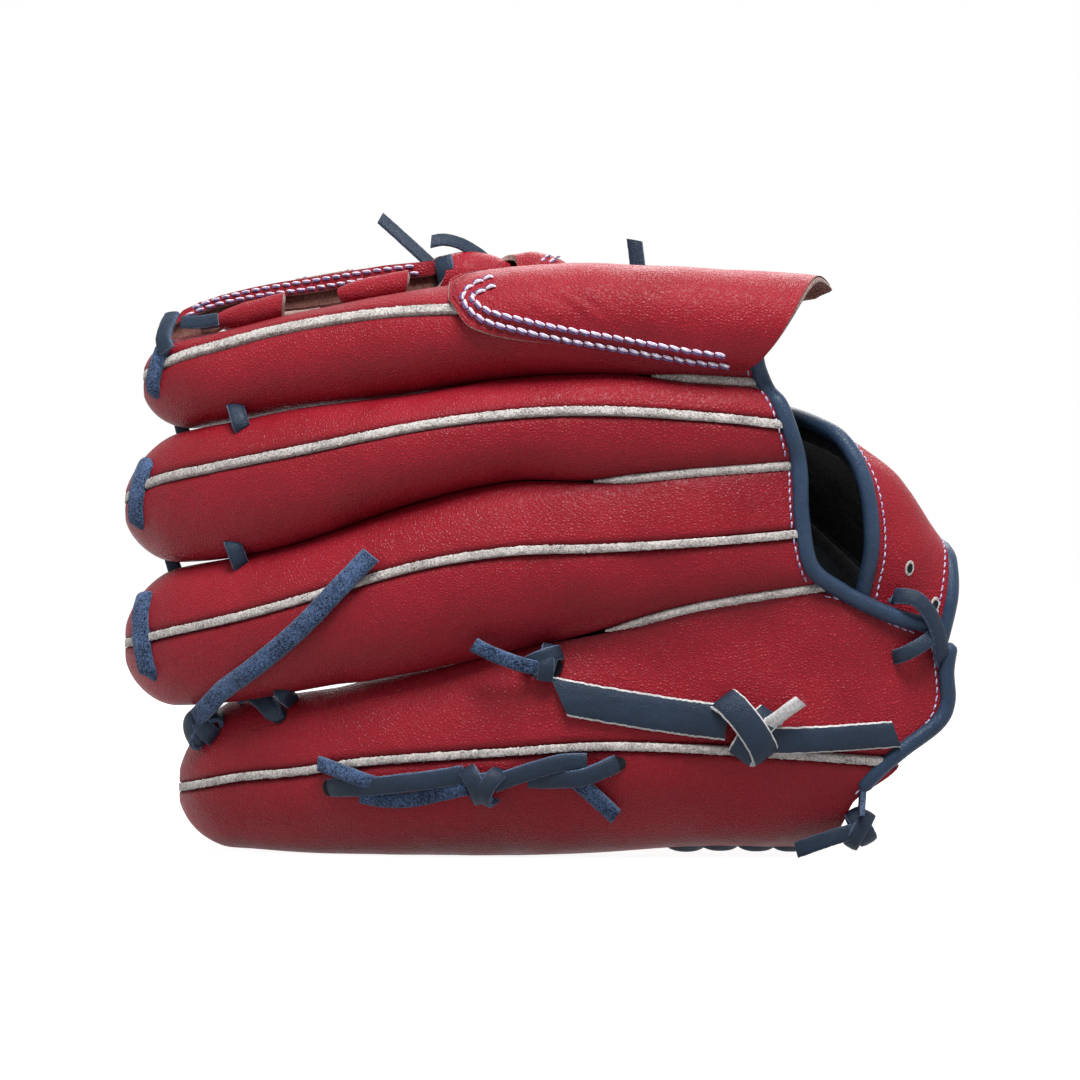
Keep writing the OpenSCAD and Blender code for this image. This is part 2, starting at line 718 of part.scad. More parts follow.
// A loop of leather inside the glove that holds a finger, seen as an arch on the lining
loop_t = 2;
loop_arch = 0.6;
module inner_loop(x_from, x_to, v_from, v_to, depth, rise) {
    count = 12;
    outer = [
        for (x = [x_from, x_to]) [
            for (j = [0 : count])
                palm_point(
                    x, mix(v_from, v_to, j / count), depth + rise * sin(180 * j / count) ^ loop_arch
                )
        ]
    ];
    inner = [
        for (i = [0, 1]) [
            for (j = [0 : count])
                palm_point(
                    [x_from, x_to][i],
                    mix(v_from, v_to, j / count),
                    depth + loop_t + rise * sin(180 * j / count) ^ loop_arch
                )
        ]
    ];
    color(red_leather) sheet(outer, inner);
}
loop_depth = lining_depth + lining_t + gap;
module inner_pinky_loop() { inner_loop(20, 34, 0.2, 0.3, loop_depth, 12); }
module inner_thumb_loop() { inner_loop(44, 56, 0.78, 0.88, loop_depth, 9); }

// ---- Web ----

post_width = 0.2;
web_end_x = -37;
web_seam = 0.014;
// Where the crossbar and the top lace begin beyond the finger's post
web_bar_v = 0.33;
function web_x(s, v) = mix(-135 + web_slant * v, web_end_x, s);
module web_sheet(s_from, s_to, v_from, v_to, depth_from, depth_to, along, across) {
    grids = [
        for (depth = [depth_from, depth_to]) [
            for (i = [0 : along]) [
                for (j = [0 : across])
                    let (v = mix(v_from, v_to, j / across))
                    web_point(web_x(mix(s_from, s_to, i / along), v), v, depth)
            ]
        ]
    ];
    sheet(grids[0], grids[1]);
}
module web_index_post() { color(red_leather) web_sheet(0, 1, 0, post_width, 0, web_t, 14, 3); }
module web_thumb_post() { color(red_leather) web_sheet(0, 1, 1 - post_width, 1, 0, web_t, 14, 3); }
module web_crossbar() {
    color(red_leather)
        web_sheet(0.42, 0.66, web_bar_v, 1 - post_width - web_seam, 0, web_t, 3, 8);
}

// A rolled tube of leather from one end to the other: real cylinders
module rolled(from, to, r) {
    ends = sized([from, to]);
    axis = ends[1] - ends[0];
    length = norm(axis);
    place() translate(ends[0])
        rotate([0, acos(axis[2] / length), atan2(axis[1], axis[0])])
            difference() {
                cylinder(h = length, r = r, $fn = 48);
                translate([0, 0, -1]) cylinder(h = length + 2, r = r - tab_wall, $fn = 48);
            }
}
// Places of the two tabs: x and the place across the front of the finger they lie on
tab_places = [[-102, 0.76], [-58, 0.72]];
function tab_centre(x, u) =
    let (p = finger_point(INDEX, x, u, 0, true), n = unit(finger_point(INDEX, x, u, 1, true) - p))
    p + n * (tab_r + 2 * gap);
function tab_end(t, s) = tab_centre(t[0] + s * tab_len / 2, t[1]);
base_loop = [[-36, 55.5, 204.4], [-12.5, 57.5, 205.2]];
crotch_loop_ends = [[-9.5, 55.5, 205.8], [10.5, 55, 204.6]];

module web_tabs() { color(red_leather) for (t = tab_places) rolled(tab_end(t, -1), tab_end(t, 1), tab_r); }
module web_base_loop() { color(red_leather) rolled(base_loop[0], base_loop[1], base_loop_r); }
module crotch_loop() { color(red_leather) rolled(crotch_loop_ends[0], crotch_loop_ends[1], crotch_loop_r); }

// ---- Lacing ----

// The lace that runs through the tabs, and the two ends that stand up at the web's foot
module web_index_lace() {
    core_r = tab_r - tab_wall - gap;
    color(navy_leather) {
        for (t = tab_places) strand([for (s = [-1.4, -0.5, 0.5, 1.4]) tab_end(t, s)], core_r);
        lace([[-61, 66, 223], [-53, 64, 217], [-45, 62, 211.5], [-41, 61.1, 206.5]],
            [for (i = [0 : 3]) [0.25, -0.95, 0.2]], lace_w * 0.7);
        lace([[-38, 53, 215.6], [-33, 54, 216.2], [-27.5, 55.5, 214.6], [-23, 56.5, 212.6]],
            [for (i = [0 : 3]) unit([0.2, -0.1, 1])], lace_w * 0.7, 1.4);
    }
}
module web_thumb_lace() {
    out = unit([0, 0.95, 0.3]);
    color(navy_leather) for (x = [-84, -50])
        lace([finger_point(THUMB, x, 0.72, gap), [x, 112.6, 190], [x, 109.8, 196]], [out, out, out]);
}
module web_top_lace() {
    color(navy_leather)
        web_sheet(0.02, 0.09, web_bar_v, 1 - post_width - web_seam, 1, 1 + lace_t, 2, 8);
}
// The lace end that stands up between the first finger and the thumb
module gusset_lace() {
    foot = gusset_point(35, 0.27, -2 * gap) + [0, 0, 4 * gap];
    color(navy_leather)
        lace([foot, foot + [0, 0.5, 9], foot + [-0.5, 1.5, 18], foot + [-1.5, 3, 27]],
            [for (i = [0 : 3]) [0, -1, 0]], lace_w * 0.7);
}

// Loops over the fingertips: finger, x, then lowest and highest z
tip_loops = [[INDEX, -134, 160, 178], [MIDDLE, -141, 114, 137], [RING, -140, 61, 90]];
on_leather = 1.5 * gap;
over_welt = welt_proud + gap;
module fingertip_lace() {
    color(navy_leather) for (t = tip_loops)
        lace_on(t[0], [for (s = [0, 0.5, 1]) [t[1] - sin(180 * s), mix(t[2], t[3], s), over_welt]], 10);
}

// Short laces between neighbouring fingers
crotch_lace_x = [-101, -104, -90];
module crotch_lace() {
    out = [0, -1, 0];
    color(navy_leather) for (k = [INDEX, MIDDLE, RING])
        let (
            x = crotch_lace_x[k],
            high = on_back(k, x, section(k, x)[3] + 5, 2 * gap),
            low = on_back(k + 1, x, section(k + 1, x)[6] - 5, 2 * gap)
        )
        lace(
            [high + out * 2 * gap, mix(high, low, 0.5) + out * 1.5, low + out * 2 * gap],
            [out, out, out],
            lace_w * 0.85
        );
}

module pinky_tip_lace() {
    color(navy_leather) {
        knot(on_back(PINKY, -117, 42, 6.4), [5.6, 3.6, 5.6]);
        lace_on(RING, [[-107, 66, 1.4], [-96, 72, 1.4], [-84, 80, 1.4], [-72, 91, 1.4], [-60, 101, 2.4]],
            16);
        lace([on_back(PINKY, -112, 48, 4.5), on_back(RING, -108.6, 60.5, 7)], [[0, -1, 0], [0, -1, 0]],
            lace_w * 0.7);
    }
}
module pinky_loop_lace() {
    color(navy_leather) {
        lace_on(PINKY, [[-68, 27, on_leather], [-54, 25, on_leather], [-38, 25.5, on_leather],
            [-27, 27, on_leather]], 10);
        lace_on(PINKY, [[-14, 31, over_welt], [-2, 33, over_welt], [12, 34, over_welt],
            [24, 34, over_welt]], 10);
        lace_on(PINKY, [[-14, 23, on_leather], [2, 23.5, on_leather], [14, 21, on_leather],
            [26, 17, on_leather]], 8);
        knot(on_back(PINKY, -20.5, 28.5, 3.2 + over_welt), [6, 3.2, 6.5]);
    }
}
module ring_crotch_knot() {
    color(navy_leather) {
        knot(on_back(PINKY, 0.5, 67, 5.2), [6, 3.6, 6]);
        lace_on(RING, [[-7.5, 79.5, on_leather], [-15, 80.5, on_leather], [-23, 82, on_leather]],
            6, lace_w * 0.8);
    }
}
module lining_tie() {
    color(navy_leather) {
        lace_on(PINKY, [[5, 61, on_leather], [20, 57, on_leather], [38, 53, on_leather],
            [59, 49, on_leather]], 12, tie_w);
        lace_on(PINKY, [[79, 46.5, on_leather], [90, 46, on_leather], [104, 45.5, on_leather],
            [118, 45.5, on_leather]], 10, tie_w);
        knot(on_back(PINKY, 69, 48, 3.6 + on_leather), [8.8, 3.6, 8.5]);
    }
}
module strap_lace() {
    out = [0, -1, 0];
    color(navy_leather) {
        lace([[121, 19.5, 97], [124.5, 15.1, 90], [128, 16.2, 84], [132, 19, 76]], [out, out, out, out]);
        lace([[133.5, 20.4, 71], [126.5, 17.4, 72.5], [119.5, 17.2, 71]], [out, out, out]);
    }
}
module heel_lace() {
    color(navy_leather) {
        lace_on(PINKY, [[112, 33, on_leather], [110, 26, on_leather], [107, 18.5, on_leather]],
            5, lace_w * 0.5);
        knot(on_back(PINKY, 105, 12.5, 4.6), [5.5, 4, 5]);
        lace_on(PINKY, [[97, 11, on_leather], [92, 10, on_leather], [86, 9, on_leather]], 5, lace_w * 0.8);
    }
}

index_back_upper();
index_back_lower();
middle_back_upper();
middle_back_lower();
ring_back_upper();
ring_back_lower();
pinky_back_upper();
pinky_back_lower();
index_welt();
middle_welt();
ring_welt();
pinky_welt();
crotch_welts();
index_front();
middle_front();
ring_front();
pinky_front();
palm_leather();
palm_pad();
palm_lining();
index_hood();
opening_binding();
heel_binding();
wrist_strap();
strap_bindings();
strap_fleece();
index_gusset();
thumb_gusset();
fold_leather();
thumb_back_upper();
thumb_back_lower();
thumb_welt();
thumb_front();
thumb_palm();
thumb_pad();
thumb_lining();
pinky_stiffener();
thumb_stiffener();
inner_pinky_loop();
inner_thumb_loop();
web_index_post();
web_thumb_post();
web_crossbar();
web_tabs();
web_base_loop();
crotch_loop();
web_index_lace();
web_thumb_lace();
web_top_lace();
gusset_lace();
fingertip_lace();
crotch_lace();
pinky_tip_lace();
pinky_loop_lace();
ring_crotch_knot();
lining_tie();
strap_lace();
heel_lace();
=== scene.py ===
"""A five-finger leather ball glove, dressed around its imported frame.

Sizes are in millimetres in the glove's drawing coordinates, the same as in the part's source: X runs
from the fingertips to the wrist, Y from the back of the hand to the thumb, and Z up. to_frame() turns
them into metres in the frame.
"""

import json
import logging
import math
import random
from collections.abc import Callable, Sequence
from dataclasses import dataclass
from enum import Enum

import bpy
import numpy as np
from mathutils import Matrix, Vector, noise


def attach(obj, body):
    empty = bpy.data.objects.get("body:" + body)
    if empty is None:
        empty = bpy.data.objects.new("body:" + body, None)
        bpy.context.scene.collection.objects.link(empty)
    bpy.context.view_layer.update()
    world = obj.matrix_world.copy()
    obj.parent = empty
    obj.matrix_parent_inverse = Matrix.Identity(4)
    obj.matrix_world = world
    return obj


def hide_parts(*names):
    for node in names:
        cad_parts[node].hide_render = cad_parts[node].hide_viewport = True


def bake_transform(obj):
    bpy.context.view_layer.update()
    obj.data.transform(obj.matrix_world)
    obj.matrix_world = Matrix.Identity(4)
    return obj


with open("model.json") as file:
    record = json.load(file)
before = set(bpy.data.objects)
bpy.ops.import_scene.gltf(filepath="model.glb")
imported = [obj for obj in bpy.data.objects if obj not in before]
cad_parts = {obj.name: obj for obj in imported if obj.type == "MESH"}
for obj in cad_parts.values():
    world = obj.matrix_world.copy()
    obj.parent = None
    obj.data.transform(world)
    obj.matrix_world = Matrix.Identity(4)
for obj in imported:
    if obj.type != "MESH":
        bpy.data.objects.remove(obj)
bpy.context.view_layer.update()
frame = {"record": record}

LOG = logging.getLogger("glove")
Grid = np.ndarray
Point = Sequence[float]

CENTRE = np.array((-1.7, 63.4, 0.0))
MM = 0.001
SHELL = 2.6
PALM = 2.8
PAD = 4.6
LINING = 1.4
STRAP = 3.0
FLEECE = 4.0
WEB = 4.4
WELT_WIDTH = 2.8
WELT_PROUD = 0.9
BINDING_RADIUS = 2.7
LACE_WIDTH = 7.5
LACE = 1.9
TAB_RADIUS = 4.7
TAB_WALL = 1.9
TAB_LENGTH = 22
GAP = 0.3
UP = np.array((0.0, 0.0, 1.0))
TO_VIEWER = np.array((0.0, -1.0, 0.0))


class Digit(Enum):
    """The glove's five fingers."""

    INDEX = 0
    MIDDLE = 1
    RING = 2
    PINKY = 3
    THUMB = 4


# Rows of a finger: x, y of the back, y of the front, y and z of the lower edge, z of the welt,
# y and z of the upper edge.
ROWS = {
    Digit.INDEX: np.array((
        (-143, 66, 92, 79, 150, 173, 79, 185), (-120, 52, 80, 67, 151, 178, 67, 184),
        (-90, 38, 67, 53, 156, 185, 53, 190), (-50, 22, 54, 39, 161, 190, 38, 197),
        (-10, 11, 48, 28, 167, 190, 31, 202), (20, 9, 47, 19, 168, 187, 31, 202),
        (55, 9, 47, 13, 166, 180, 31, 198), (104, 14, 50, 18, 163, 170, 34, 193)), float),
    Digit.MIDDLE: np.array((
        (-150, 70, 98, 84, 104, 130, 84, 142), (-128, 52, 80, 67, 103, 134, 67, 149),
        (-106, 38, 68, 54, 105, 138, 54, 153), (-84, 28, 58, 44, 110, 142, 44, 157),
        (-42, 13, 48, 30, 124, 150, 32, 162), (-10, 7, 45, 21, 131, 154, 28, 167),
        (20, 3, 44, 12, 131, 155, 19, 168), (55, 3, 45, 8, 134, 153, 13, 166),
        (96, 9, 49, 13, 137, 149, 16, 163)), float),
    Digit.RING: np.array((
        (-150, 70, 98, 84, 52, 74, 84, 95), (-128, 52, 80, 67, 52, 79, 67, 101),
        (-106, 38, 68, 54, 54, 84, 54, 105), (-84, 28, 58, 44, 58, 90, 44, 110),
        (-42, 13, 49, 30, 66, 102, 30, 124), (-10, 7, 45, 25, 73, 107, 21, 131),
        (20, 4, 44, 16, 79, 108, 12, 131), (55, 4, 46, 12, 88, 110, 8, 134),
        (100, 12, 50, 17, 95, 114, 13, 137)), float),
    Digit.PINKY: np.array((
        (-130, 62, 92, 82, 1, 22, 78, 44), (-108, 50, 80, 72, 1, 27, 66, 54),
        (-84, 38, 70, 60, 0.1, 30, 54, 57), (-60, 27, 60, 52, 0.1, 34, 43, 61),
        (-10, 15, 54, 47, 0.1, 38, 25, 72), (20, 12, 56, 47, 1, 40, 16, 79),
        (55, 12, 60, 50, 3, 39, 12, 88), (98, 15, 64, 54, 3, 36, 17, 94),
        (124, 20, 66, 56, 8, 34, 20, 83), (142, 24, 66, 54, 16, 34, 24, 77)), float),
    Digit.THUMB: np.array((
        (-104, 119, 92, 105, 148, 168, 105, 182), (-80, 122, 90, 106, 142, 167, 106, 188),
        (-40, 126, 90, 109, 138, 166, 107, 191), (0, 127, 92, 110, 130, 160, 105, 190),
        (40, 126, 91, 110, 110, 142, 101, 180), (80, 122, 90, 108, 86, 116, 94, 152),
        (110, 116, 88, 104, 62, 92, 90, 128), (132, 110, 86, 98, 46, 76, 86, 108)), float),
}
# Where each finger's back panels end, as rows of place across the panel and x.
PANEL_ENDS = {
    Digit.INDEX: np.array(((-1, 73), (0, 70), (1, 69)), float),
    Digit.MIDDLE: np.array(((-1, 86), (0, 82), (1, 74)), float),
    Digit.RING: np.array(((-1, 94), (0, 87), (1, 86)), float),
    Digit.PINKY: np.array(((-1, 90), (-0.7, 103), (-0.4, 109), (-0.15, 121), (0.1, 136), (0.5, 137),
                           (1, 134)), float),
    Digit.THUMB: np.array(((-1, 118), (0, 127), (1, 128)), float),
}
WELT_END = {Digit.INDEX: 66, Digit.MIDDLE: 80, Digit.RING: 86, Digit.PINKY: 118, Digit.THUMB: 124}
CROTCH_X = -20
NOSE = 21
SHORT_WELT_X = (30, 10, 14)
SHORT_WELT_RUN = 24
SHORT_WELT_START = 0.35
FINGER_GAP = 0.3
SEAM_ROOM = 2.6
TIP_INSET = 1
TIP_CROWDING = 1.5

PALM_ROWS = np.array((
    (-20, 54, 7, 54, 30, 48, 80, 46, 130, 52, 176, 68, 190, 83, 188, 91, 176, 94, 156),
    (0, 54, 7, 53, 30, 48, 78, 46, 124, 52, 168, 68, 183, 84, 180, 92, 168, 95, 150),
    (30, 57, 8, 54, 28, 49, 70, 47, 112, 54, 152, 69, 168, 83, 164, 91, 152, 94, 136),
    (60, 60, 9, 58, 26, 51, 60, 50, 96, 56, 128, 70, 145, 82, 140, 90, 128, 93, 112),
    (90, 64, 9, 63, 24, 55, 50, 54, 78, 59, 103, 70, 119, 81, 114, 88, 102, 91, 88),
    (130, 66, 15, 66, 26, 60, 42, 59, 56, 63, 70, 71, 81, 79, 78, 85, 68, 88, 56)), float)
PALM_ENDS = np.array((
    (0, 88), (0.1, 100), (0.2, 111), (0.3, 121), (0.4, 127), (0.5, 128),
    (0.6, 122), (0.7, 126), (0.8, 126), (0.9, 121), (1, 114)), float)
FOLD_V = 0.6
FOLD_HALF = 0.03
GUSSET_ROWS = np.array((
    (-12, 33, 202.6, 50, 199.4, 69, 198, 88, 195, 104, 191),
    (20, 33, 202.6, 50, 196.4, 69, 191, 86, 187, 101, 186),
    (50, 34, 200, 50, 182, 69, 175, 84, 174, 98, 175),
    (74, 36, 198, 50, 170, 69, 159, 82, 157, 93, 158)), float)
GUSSET_SPAN = (-12, 70)
STRAP_FINGER_EDGE = (
    (109, 22.8, 74), (112, 22.4, 92), (115, 19, 110), (113, 19, 131), (106, 25, 146),
    (96, 36, 153), (86, 54, 157), (84, 74, 156), (86.2, 92, 149.2))
STRAP_CROWN = (
    (124, 26.4, 72), (128, 25.4, 91), (131, 25, 107), (130, 30, 122), (126, 38, 132),
    (120, 48, 137), (113, 62, 139), (110, 76, 137), (107.5, 90, 131.7))
STRAP_WRIST_EDGE = (
    (138, 29.5, 70), (143, 30, 90), (144, 36, 103), (143, 44, 108), (141, 54, 110),
    (138, 64, 111), (135, 72, 112), (132, 79, 111), (129, 85.6, 109.2))
WEB_ROWS = np.array((
    (-136, 79, 185, 81, 190.5, 90, 191, 100, 188, 107, 182),
    (-120, 75, 192, 78, 197.5, 89, 196, 101, 193, 108.5, 188.5),
    (-102, 70.5, 195.5, 73, 202, 87, 199, 101, 196.5, 109, 192),
    (-84, 65, 197, 67.5, 205, 84, 201.5, 101, 198.5, 109, 193.5),
    (-58, 56, 200.5, 58.5, 208.5, 79, 205, 99, 201.5, 108, 196),
    (-37, 53, 203, 55.5, 210.5, 77, 206, 97, 203, 107, 197)), float)
WEB_SLANT = 34
WEB_END_X = -37
POST_WIDTH = 0.2
TOP_LACE_S = 0.055
# The two tabs on the first finger: x and the place across its front.
TAB_PLACES = ((-102, 0.76), (-58, 0.72))
HOOD_EDGE = np.array(((-33, 194), (-24, 183.4), (7, 178), (37, 173.9), (69, 170.6), (104, 168.6)), float)
HOOD_MOUTH = np.array(((0, 69), (0.5, 88), (1, 102)), float)
HOOD_BULGE = 10
HOOD_LENGTH = 130
HOOD_TIP_X = -31


# ---- Curves and surfaces of the glove ----


def mix(a: float, b: float, t: float) -> float:
    """A value between a and b."""
    return a + (b - a) * t


def smoothstep(t: float) -> float:
    """A smooth rise from 0 to 1."""
    c = max(0.0, min(1.0, t))
    return c * c * (3 - 2 * c)


def unit(v: np.ndarray) -> np.ndarray:
    """A vector, or an array of vectors, with length one."""
    v = np.asarray(v, float)
    return v / np.maximum(np.linalg.norm(v, axis=-1, keepdims=True), 1e-9)


def to_frame(points: Sequence | np.ndarray) -> np.ndarray:
    """Drawing coordinates in millimetres to the frame's metres."""
    return (np.asarray(points, float) - CENTRE) * MM


def row_at(rows: np.ndarray, x: float) -> np.ndarray:
    """A row of a table at x, where each column is a smooth curve of the first.

    Args:
        rows: The table, in rising order of its first column.
        x: The place to read it at.

    Returns:
        The whole row.
    """
    i = int(np.clip(np.searchsorted(rows[:, 0], x, side="right") - 1, 0, len(rows) - 2))
    a, b = rows[i], rows[i + 1]
    h = b[0] - a[0]
    t = (x - a[0]) / h
    low, high = rows[max(i - 1, 0)], rows[min(i + 2, len(rows) - 1)]
    slope_a = (b - low) / (b[0] - low[0])
    slope_b = (high - a) / (high[0] - a[0])
    return ((2 * t**3 - 3 * t**2 + 1) * a + (t**3 - 2 * t**2 + t) * h * slope_a
            + (3 * t**2 - 2 * t**3) * b + (t**3 - t**2) * h * slope_b)


def curve_at(points: Sequence, t: float) -> np.ndarray:
    """A place on a smooth curve through points, where t is 0 at the first and 1 at the last."""
    last = len(points) - 1
    i = min(int(t * last), last - 1)
    s = t * last - i
    a, b, c, d = (np.asarray(points[min(max(i + k, 0), last)], float) for k in (-1, 0, 1, 2))
    return 0.5 * (2 * b + (c - a) * s + (2 * a - 5 * b + 4 * c - d) * s**2 + (3 * b - a - 3 * c + d) * s**3)


def smooth_path(points: Sequence, step: float = 1.0) -> np.ndarray:
    """A smooth path through points with even spacing.

    Args:
        points: The points that it passes.
        step: The distance between the path's own points, in millimetres.

    Returns:
        An array of points.
    """
    fine = np.array([curve_at(points, t) for t in np.linspace(0, 1, 24 * len(points))])
    run = np.concatenate(((0,), np.cumsum(np.linalg.norm(np.diff(fine, axis=0), axis=1))))
    places = np.linspace(0, run[-1], max(3, round(run[-1] / step) + 1))
    return np.stack([np.interp(places, run, fine[:, k]) for k in range(fine.shape[1])], axis=1)


def crotch_beside(digit: Digit, lower: bool) -> int | None:
    """The number of the crotch at a finger's edge, or None where no finger lies beside it."""
    k = digit.value if lower else digit.value - 1
    return k if 0 <= k < len(SHORT_WELT_X) else None


def edge_room(digit: Digit, x: float, lower: bool) -> float:
    """Room that a finger leaves at an edge for its neighbour and the short welt between them."""
    k = crotch_beside(digit, lower)
    if k is None:
        return 0.0
    return FINGER_GAP + smoothstep((x - SHORT_WELT_X[k]) / SHORT_WELT_RUN) * WELT_WIDTH / 2


def closing(digit: Digit, x: float, lower: bool) -> float:
    """How far the padded edge of a finger swells to meet its neighbour."""
    k = crotch_beside(digit, lower)
    if k is None:
        return 0.0
    pinky_side = smoothstep((x + 72) / 12) * (1 - smoothstep(x / 20)) if k == 2 else 0.0
    return FINGER_GAP + 0.8 * pinky_side


@dataclass(frozen=True)
class Section:
    """A finger's section across x: its back, its front, both its edges and its welt."""

    back: float
    front: float
    low_y: float
    low_z: float
    welt_z: float
    high_y: float
    high_z: float


def section(digit: Digit, x: float) -> Section:
    """A finger's section at x, with its nose rounded and its gap to the next finger."""
    r = row_at(ROWS[digit], x)
    s = (x - ROWS[digit][0][0]) / NOSE
    k = 1.0 if s >= 1 else math.sqrt(max(1 - (1 - s) ** 2, 0.01))
    y_mid, z_mid = (r[1] + r[2]) / 2, (r[4] + r[7]) / 2
    return Section(
        mix(y_mid, r[1], k), mix(y_mid, r[2], k), mix(y_mid, r[3], k),
        mix(z_mid, r[4] + edge_room(digit, x, True), k), mix(z_mid, r[5], k),
        mix(y_mid, r[6], k), mix(z_mid, r[7] - edge_room(digit, x, False), k))


def finger_point(digit: Digit, x: float, u: float, lift: float = 0.0, front: bool = False) -> np.ndarray:
    """A point of a finger's skin.

    Args:
        digit: The finger.
        x: The place along it.
        u: The place across it, from -1 at the lower edge to 1 at the upper edge.
        lift: The height above the skin.
        front: True for the side that faces the pocket.

    Returns:
        The point in drawing coordinates.
    """
    c = section(digit, x)
    side = math.copysign(1, c.front - c.back) * (-1 if front else 1)
    crest = c.front if front else c.back
    edge = (c.low_y if u < 0 else c.high_y) - (side * GAP if front else 0)
    half = (c.high_z - c.low_z) / 2
    angle = math.radians(90 * u)
    rise = max(lift, -0.85 * abs(edge - crest) - 2)
    return np.array((
        x, mix(crest, edge, 1 - math.cos(angle)) - side * rise * math.cos(angle),
        (c.high_z + c.low_z) / 2 + (half + max(lift, -0.85 * half)) * math.sin(angle)))


def place_of(digit: Digit, x: float, z: float) -> float:
    """The place across a finger's back that is at height z."""
    c = section(digit, x)
    middle, half = (c.high_z + c.low_z) / 2, (c.high_z - c.low_z) / 2
    return math.degrees(math.asin(max(-0.98, min(0.98, (z - middle) / half)))) / 90


def on_back(digit: Digit, x: float, z: float, lift: float = 0.0) -> np.ndarray:
    """The point of a finger's back at x and height z."""
    return finger_point(digit, x, place_of(digit, x, z), lift)


def back_normal(digit: Digit, x: float, z: float) -> np.ndarray:
    """The direction out of a finger's back at x and height z."""
    along = on_back(digit, x + 1, z) - on_back(digit, x - 1, z)
    across = on_back(digit, x, z + 1) - on_back(digit, x, z - 1)
    out = unit(np.cross(along, across))
    return out if out[1] * (1 if digit is Digit.THUMB else -1) > 0 else -out


def row_places(rows: np.ndarray, x: float) -> list[np.ndarray]:
    """The points of a table's row at x."""
    r = row_at(rows, x)
    return [np.array((x, r[i], r[i + 1])) for i in range(1, len(r) - 1, 2)]


def palm_places(x: float) -> list[np.ndarray]:
    """The palm's places at x, from the little finger's seam, over the fold, to the thumb's seam."""
    pinky, thumb = section(Digit.PINKY, x), section(Digit.THUMB, x)
    return [np.array((x, pinky.low_y + SEAM_ROOM, pinky.low_z + GAP)), *row_places(PALM_ROWS, x),
            np.array((x, thumb.low_y - SEAM_ROOM - 2 * GAP, thumb.low_z))]


def across_normal(places: Sequence, v: float) -> np.ndarray:
    """The normal of a curve of places in the plane across X."""
    d = curve_at(places, min(v + 0.01, 1)) - curve_at(places, max(v - 0.01, 0))
    return unit(np.array((0, -d[2], d[1])))


def palm_point(x: float, v: float, depth: float) -> np.ndarray:
    """A point of the palm, where depth is measured behind the leather's face."""
    places = palm_places(x)
    return curve_at(places, v) + depth * across_normal(places, v)


def gusset_point(x: float, v: float, depth: float) -> np.ndarray:
    """A point of the gusset between the first finger and the thumb."""
    places = row_places(GUSSET_ROWS, x)
    return curve_at(places, v) - depth * across_normal(places, v)


def web_point(s: float, v: float, depth: float) -> np.ndarray:
    """A point of the web, from its tip to its foot (s) and from the finger to the thumb (v)."""
    x = mix(-135 + WEB_SLANT * v, WEB_END_X, s)
    places = row_places(WEB_ROWS, x)
    return curve_at(places, v) - depth * across_normal(places, v)


def web_out(s: float, v: float) -> np.ndarray:
    """The direction out of the web's face."""
    return unit(web_point(s, v, -1) - web_point(s, v, 0))


def tab_end(place: tuple[float, float], share: float) -> np.ndarray:
    """A point on the axis of a web tab, whose ends are at shares of -0.5 and 0.5 of its length."""
    x, u = place[0] + share * TAB_LENGTH, place[1]
    foot = finger_point(Digit.INDEX, x, u, 0, True)
    return foot + unit(finger_point(Digit.INDEX, x, u, 1, True) - foot) * (TAB_RADIUS + 2 * GAP)


def sample(surface: Callable[[float, float], np.ndarray], along: int, across: int,
           crowd: bool = False) -> Grid:
    """A grid of points on a surface.

    Args:
        surface: Gives a point for two places between 0 and 1.
        along: The number of steps of the first place.
        across: The number of steps of the second place.
        crowd: True to set the steps of the second place closer at both ends.

    Returns:
        The grid.
    """
    places = np.linspace(0, 1, across + 1)
    if crowd:
        places = 0.35 * places + 0.65 * (0.5 - 0.5 * np.cos(np.pi * places))
    return np.array([[surface(i / along, float(t)) for t in places] for i in range(along + 1)])


def grid_normals(grid: Grid, facing: Point) -> Grid:
    """The normals of a grid, on the side that most of it turns towards facing."""
    normals = unit(np.cross(np.gradient(grid, axis=0), np.gradient(grid, axis=1)))
    return normals if (normals @ np.asarray(facing, float)).mean() > 0 else -normals


def ripple(grid: Grid, size: float, seed: float) -> np.ndarray:
    """Soft random relief over a grid, between about -1 and 1, with lumps of a size in millimetres."""
    return np.array([[noise.noise(Vector(p) / size + Vector((seed, seed * 0.7,
                                                             3.1))) for p in row] for row in grid])


def edge_distance(grid: Grid, sides: str) -> np.ndarray:
    """The distance of each grid point to the nearest of the sides named.

    Args:
        grid: The grid.
        sides: Letters for its sides: a and b are the first and last row, c and d the first and
            last column.

    Returns:
        An array of distances in millimetres.
    """
    far = np.full(grid.shape[:2], 99.0)
    for side in sides:
        axis = 0 if side in "ab" else 1
        steps = np.linalg.norm(np.diff(grid, axis=axis), axis=2)
        pad = ((1, 0), (0, 0)) if axis == 0 else ((0, 0), (1, 0))
        run = np.pad(np.cumsum(steps, axis=axis), pad)
        if side in "bd":
            run = (run[-1:] if axis == 0 else run[:, -1:]) - run
        far = np.minimum(far, run)
    return far


def rolled_edge(distance: np.ndarray, radius: float, depth: float) -> np.ndarray:
    """How far leather drops where it turns in at a seam."""
    inside = np.clip(1 - distance / radius, 0, 1)
    return -depth * (1 - np.sqrt(np.clip(1 - inside**2, 0, 1)))


# ---- Meshes ----


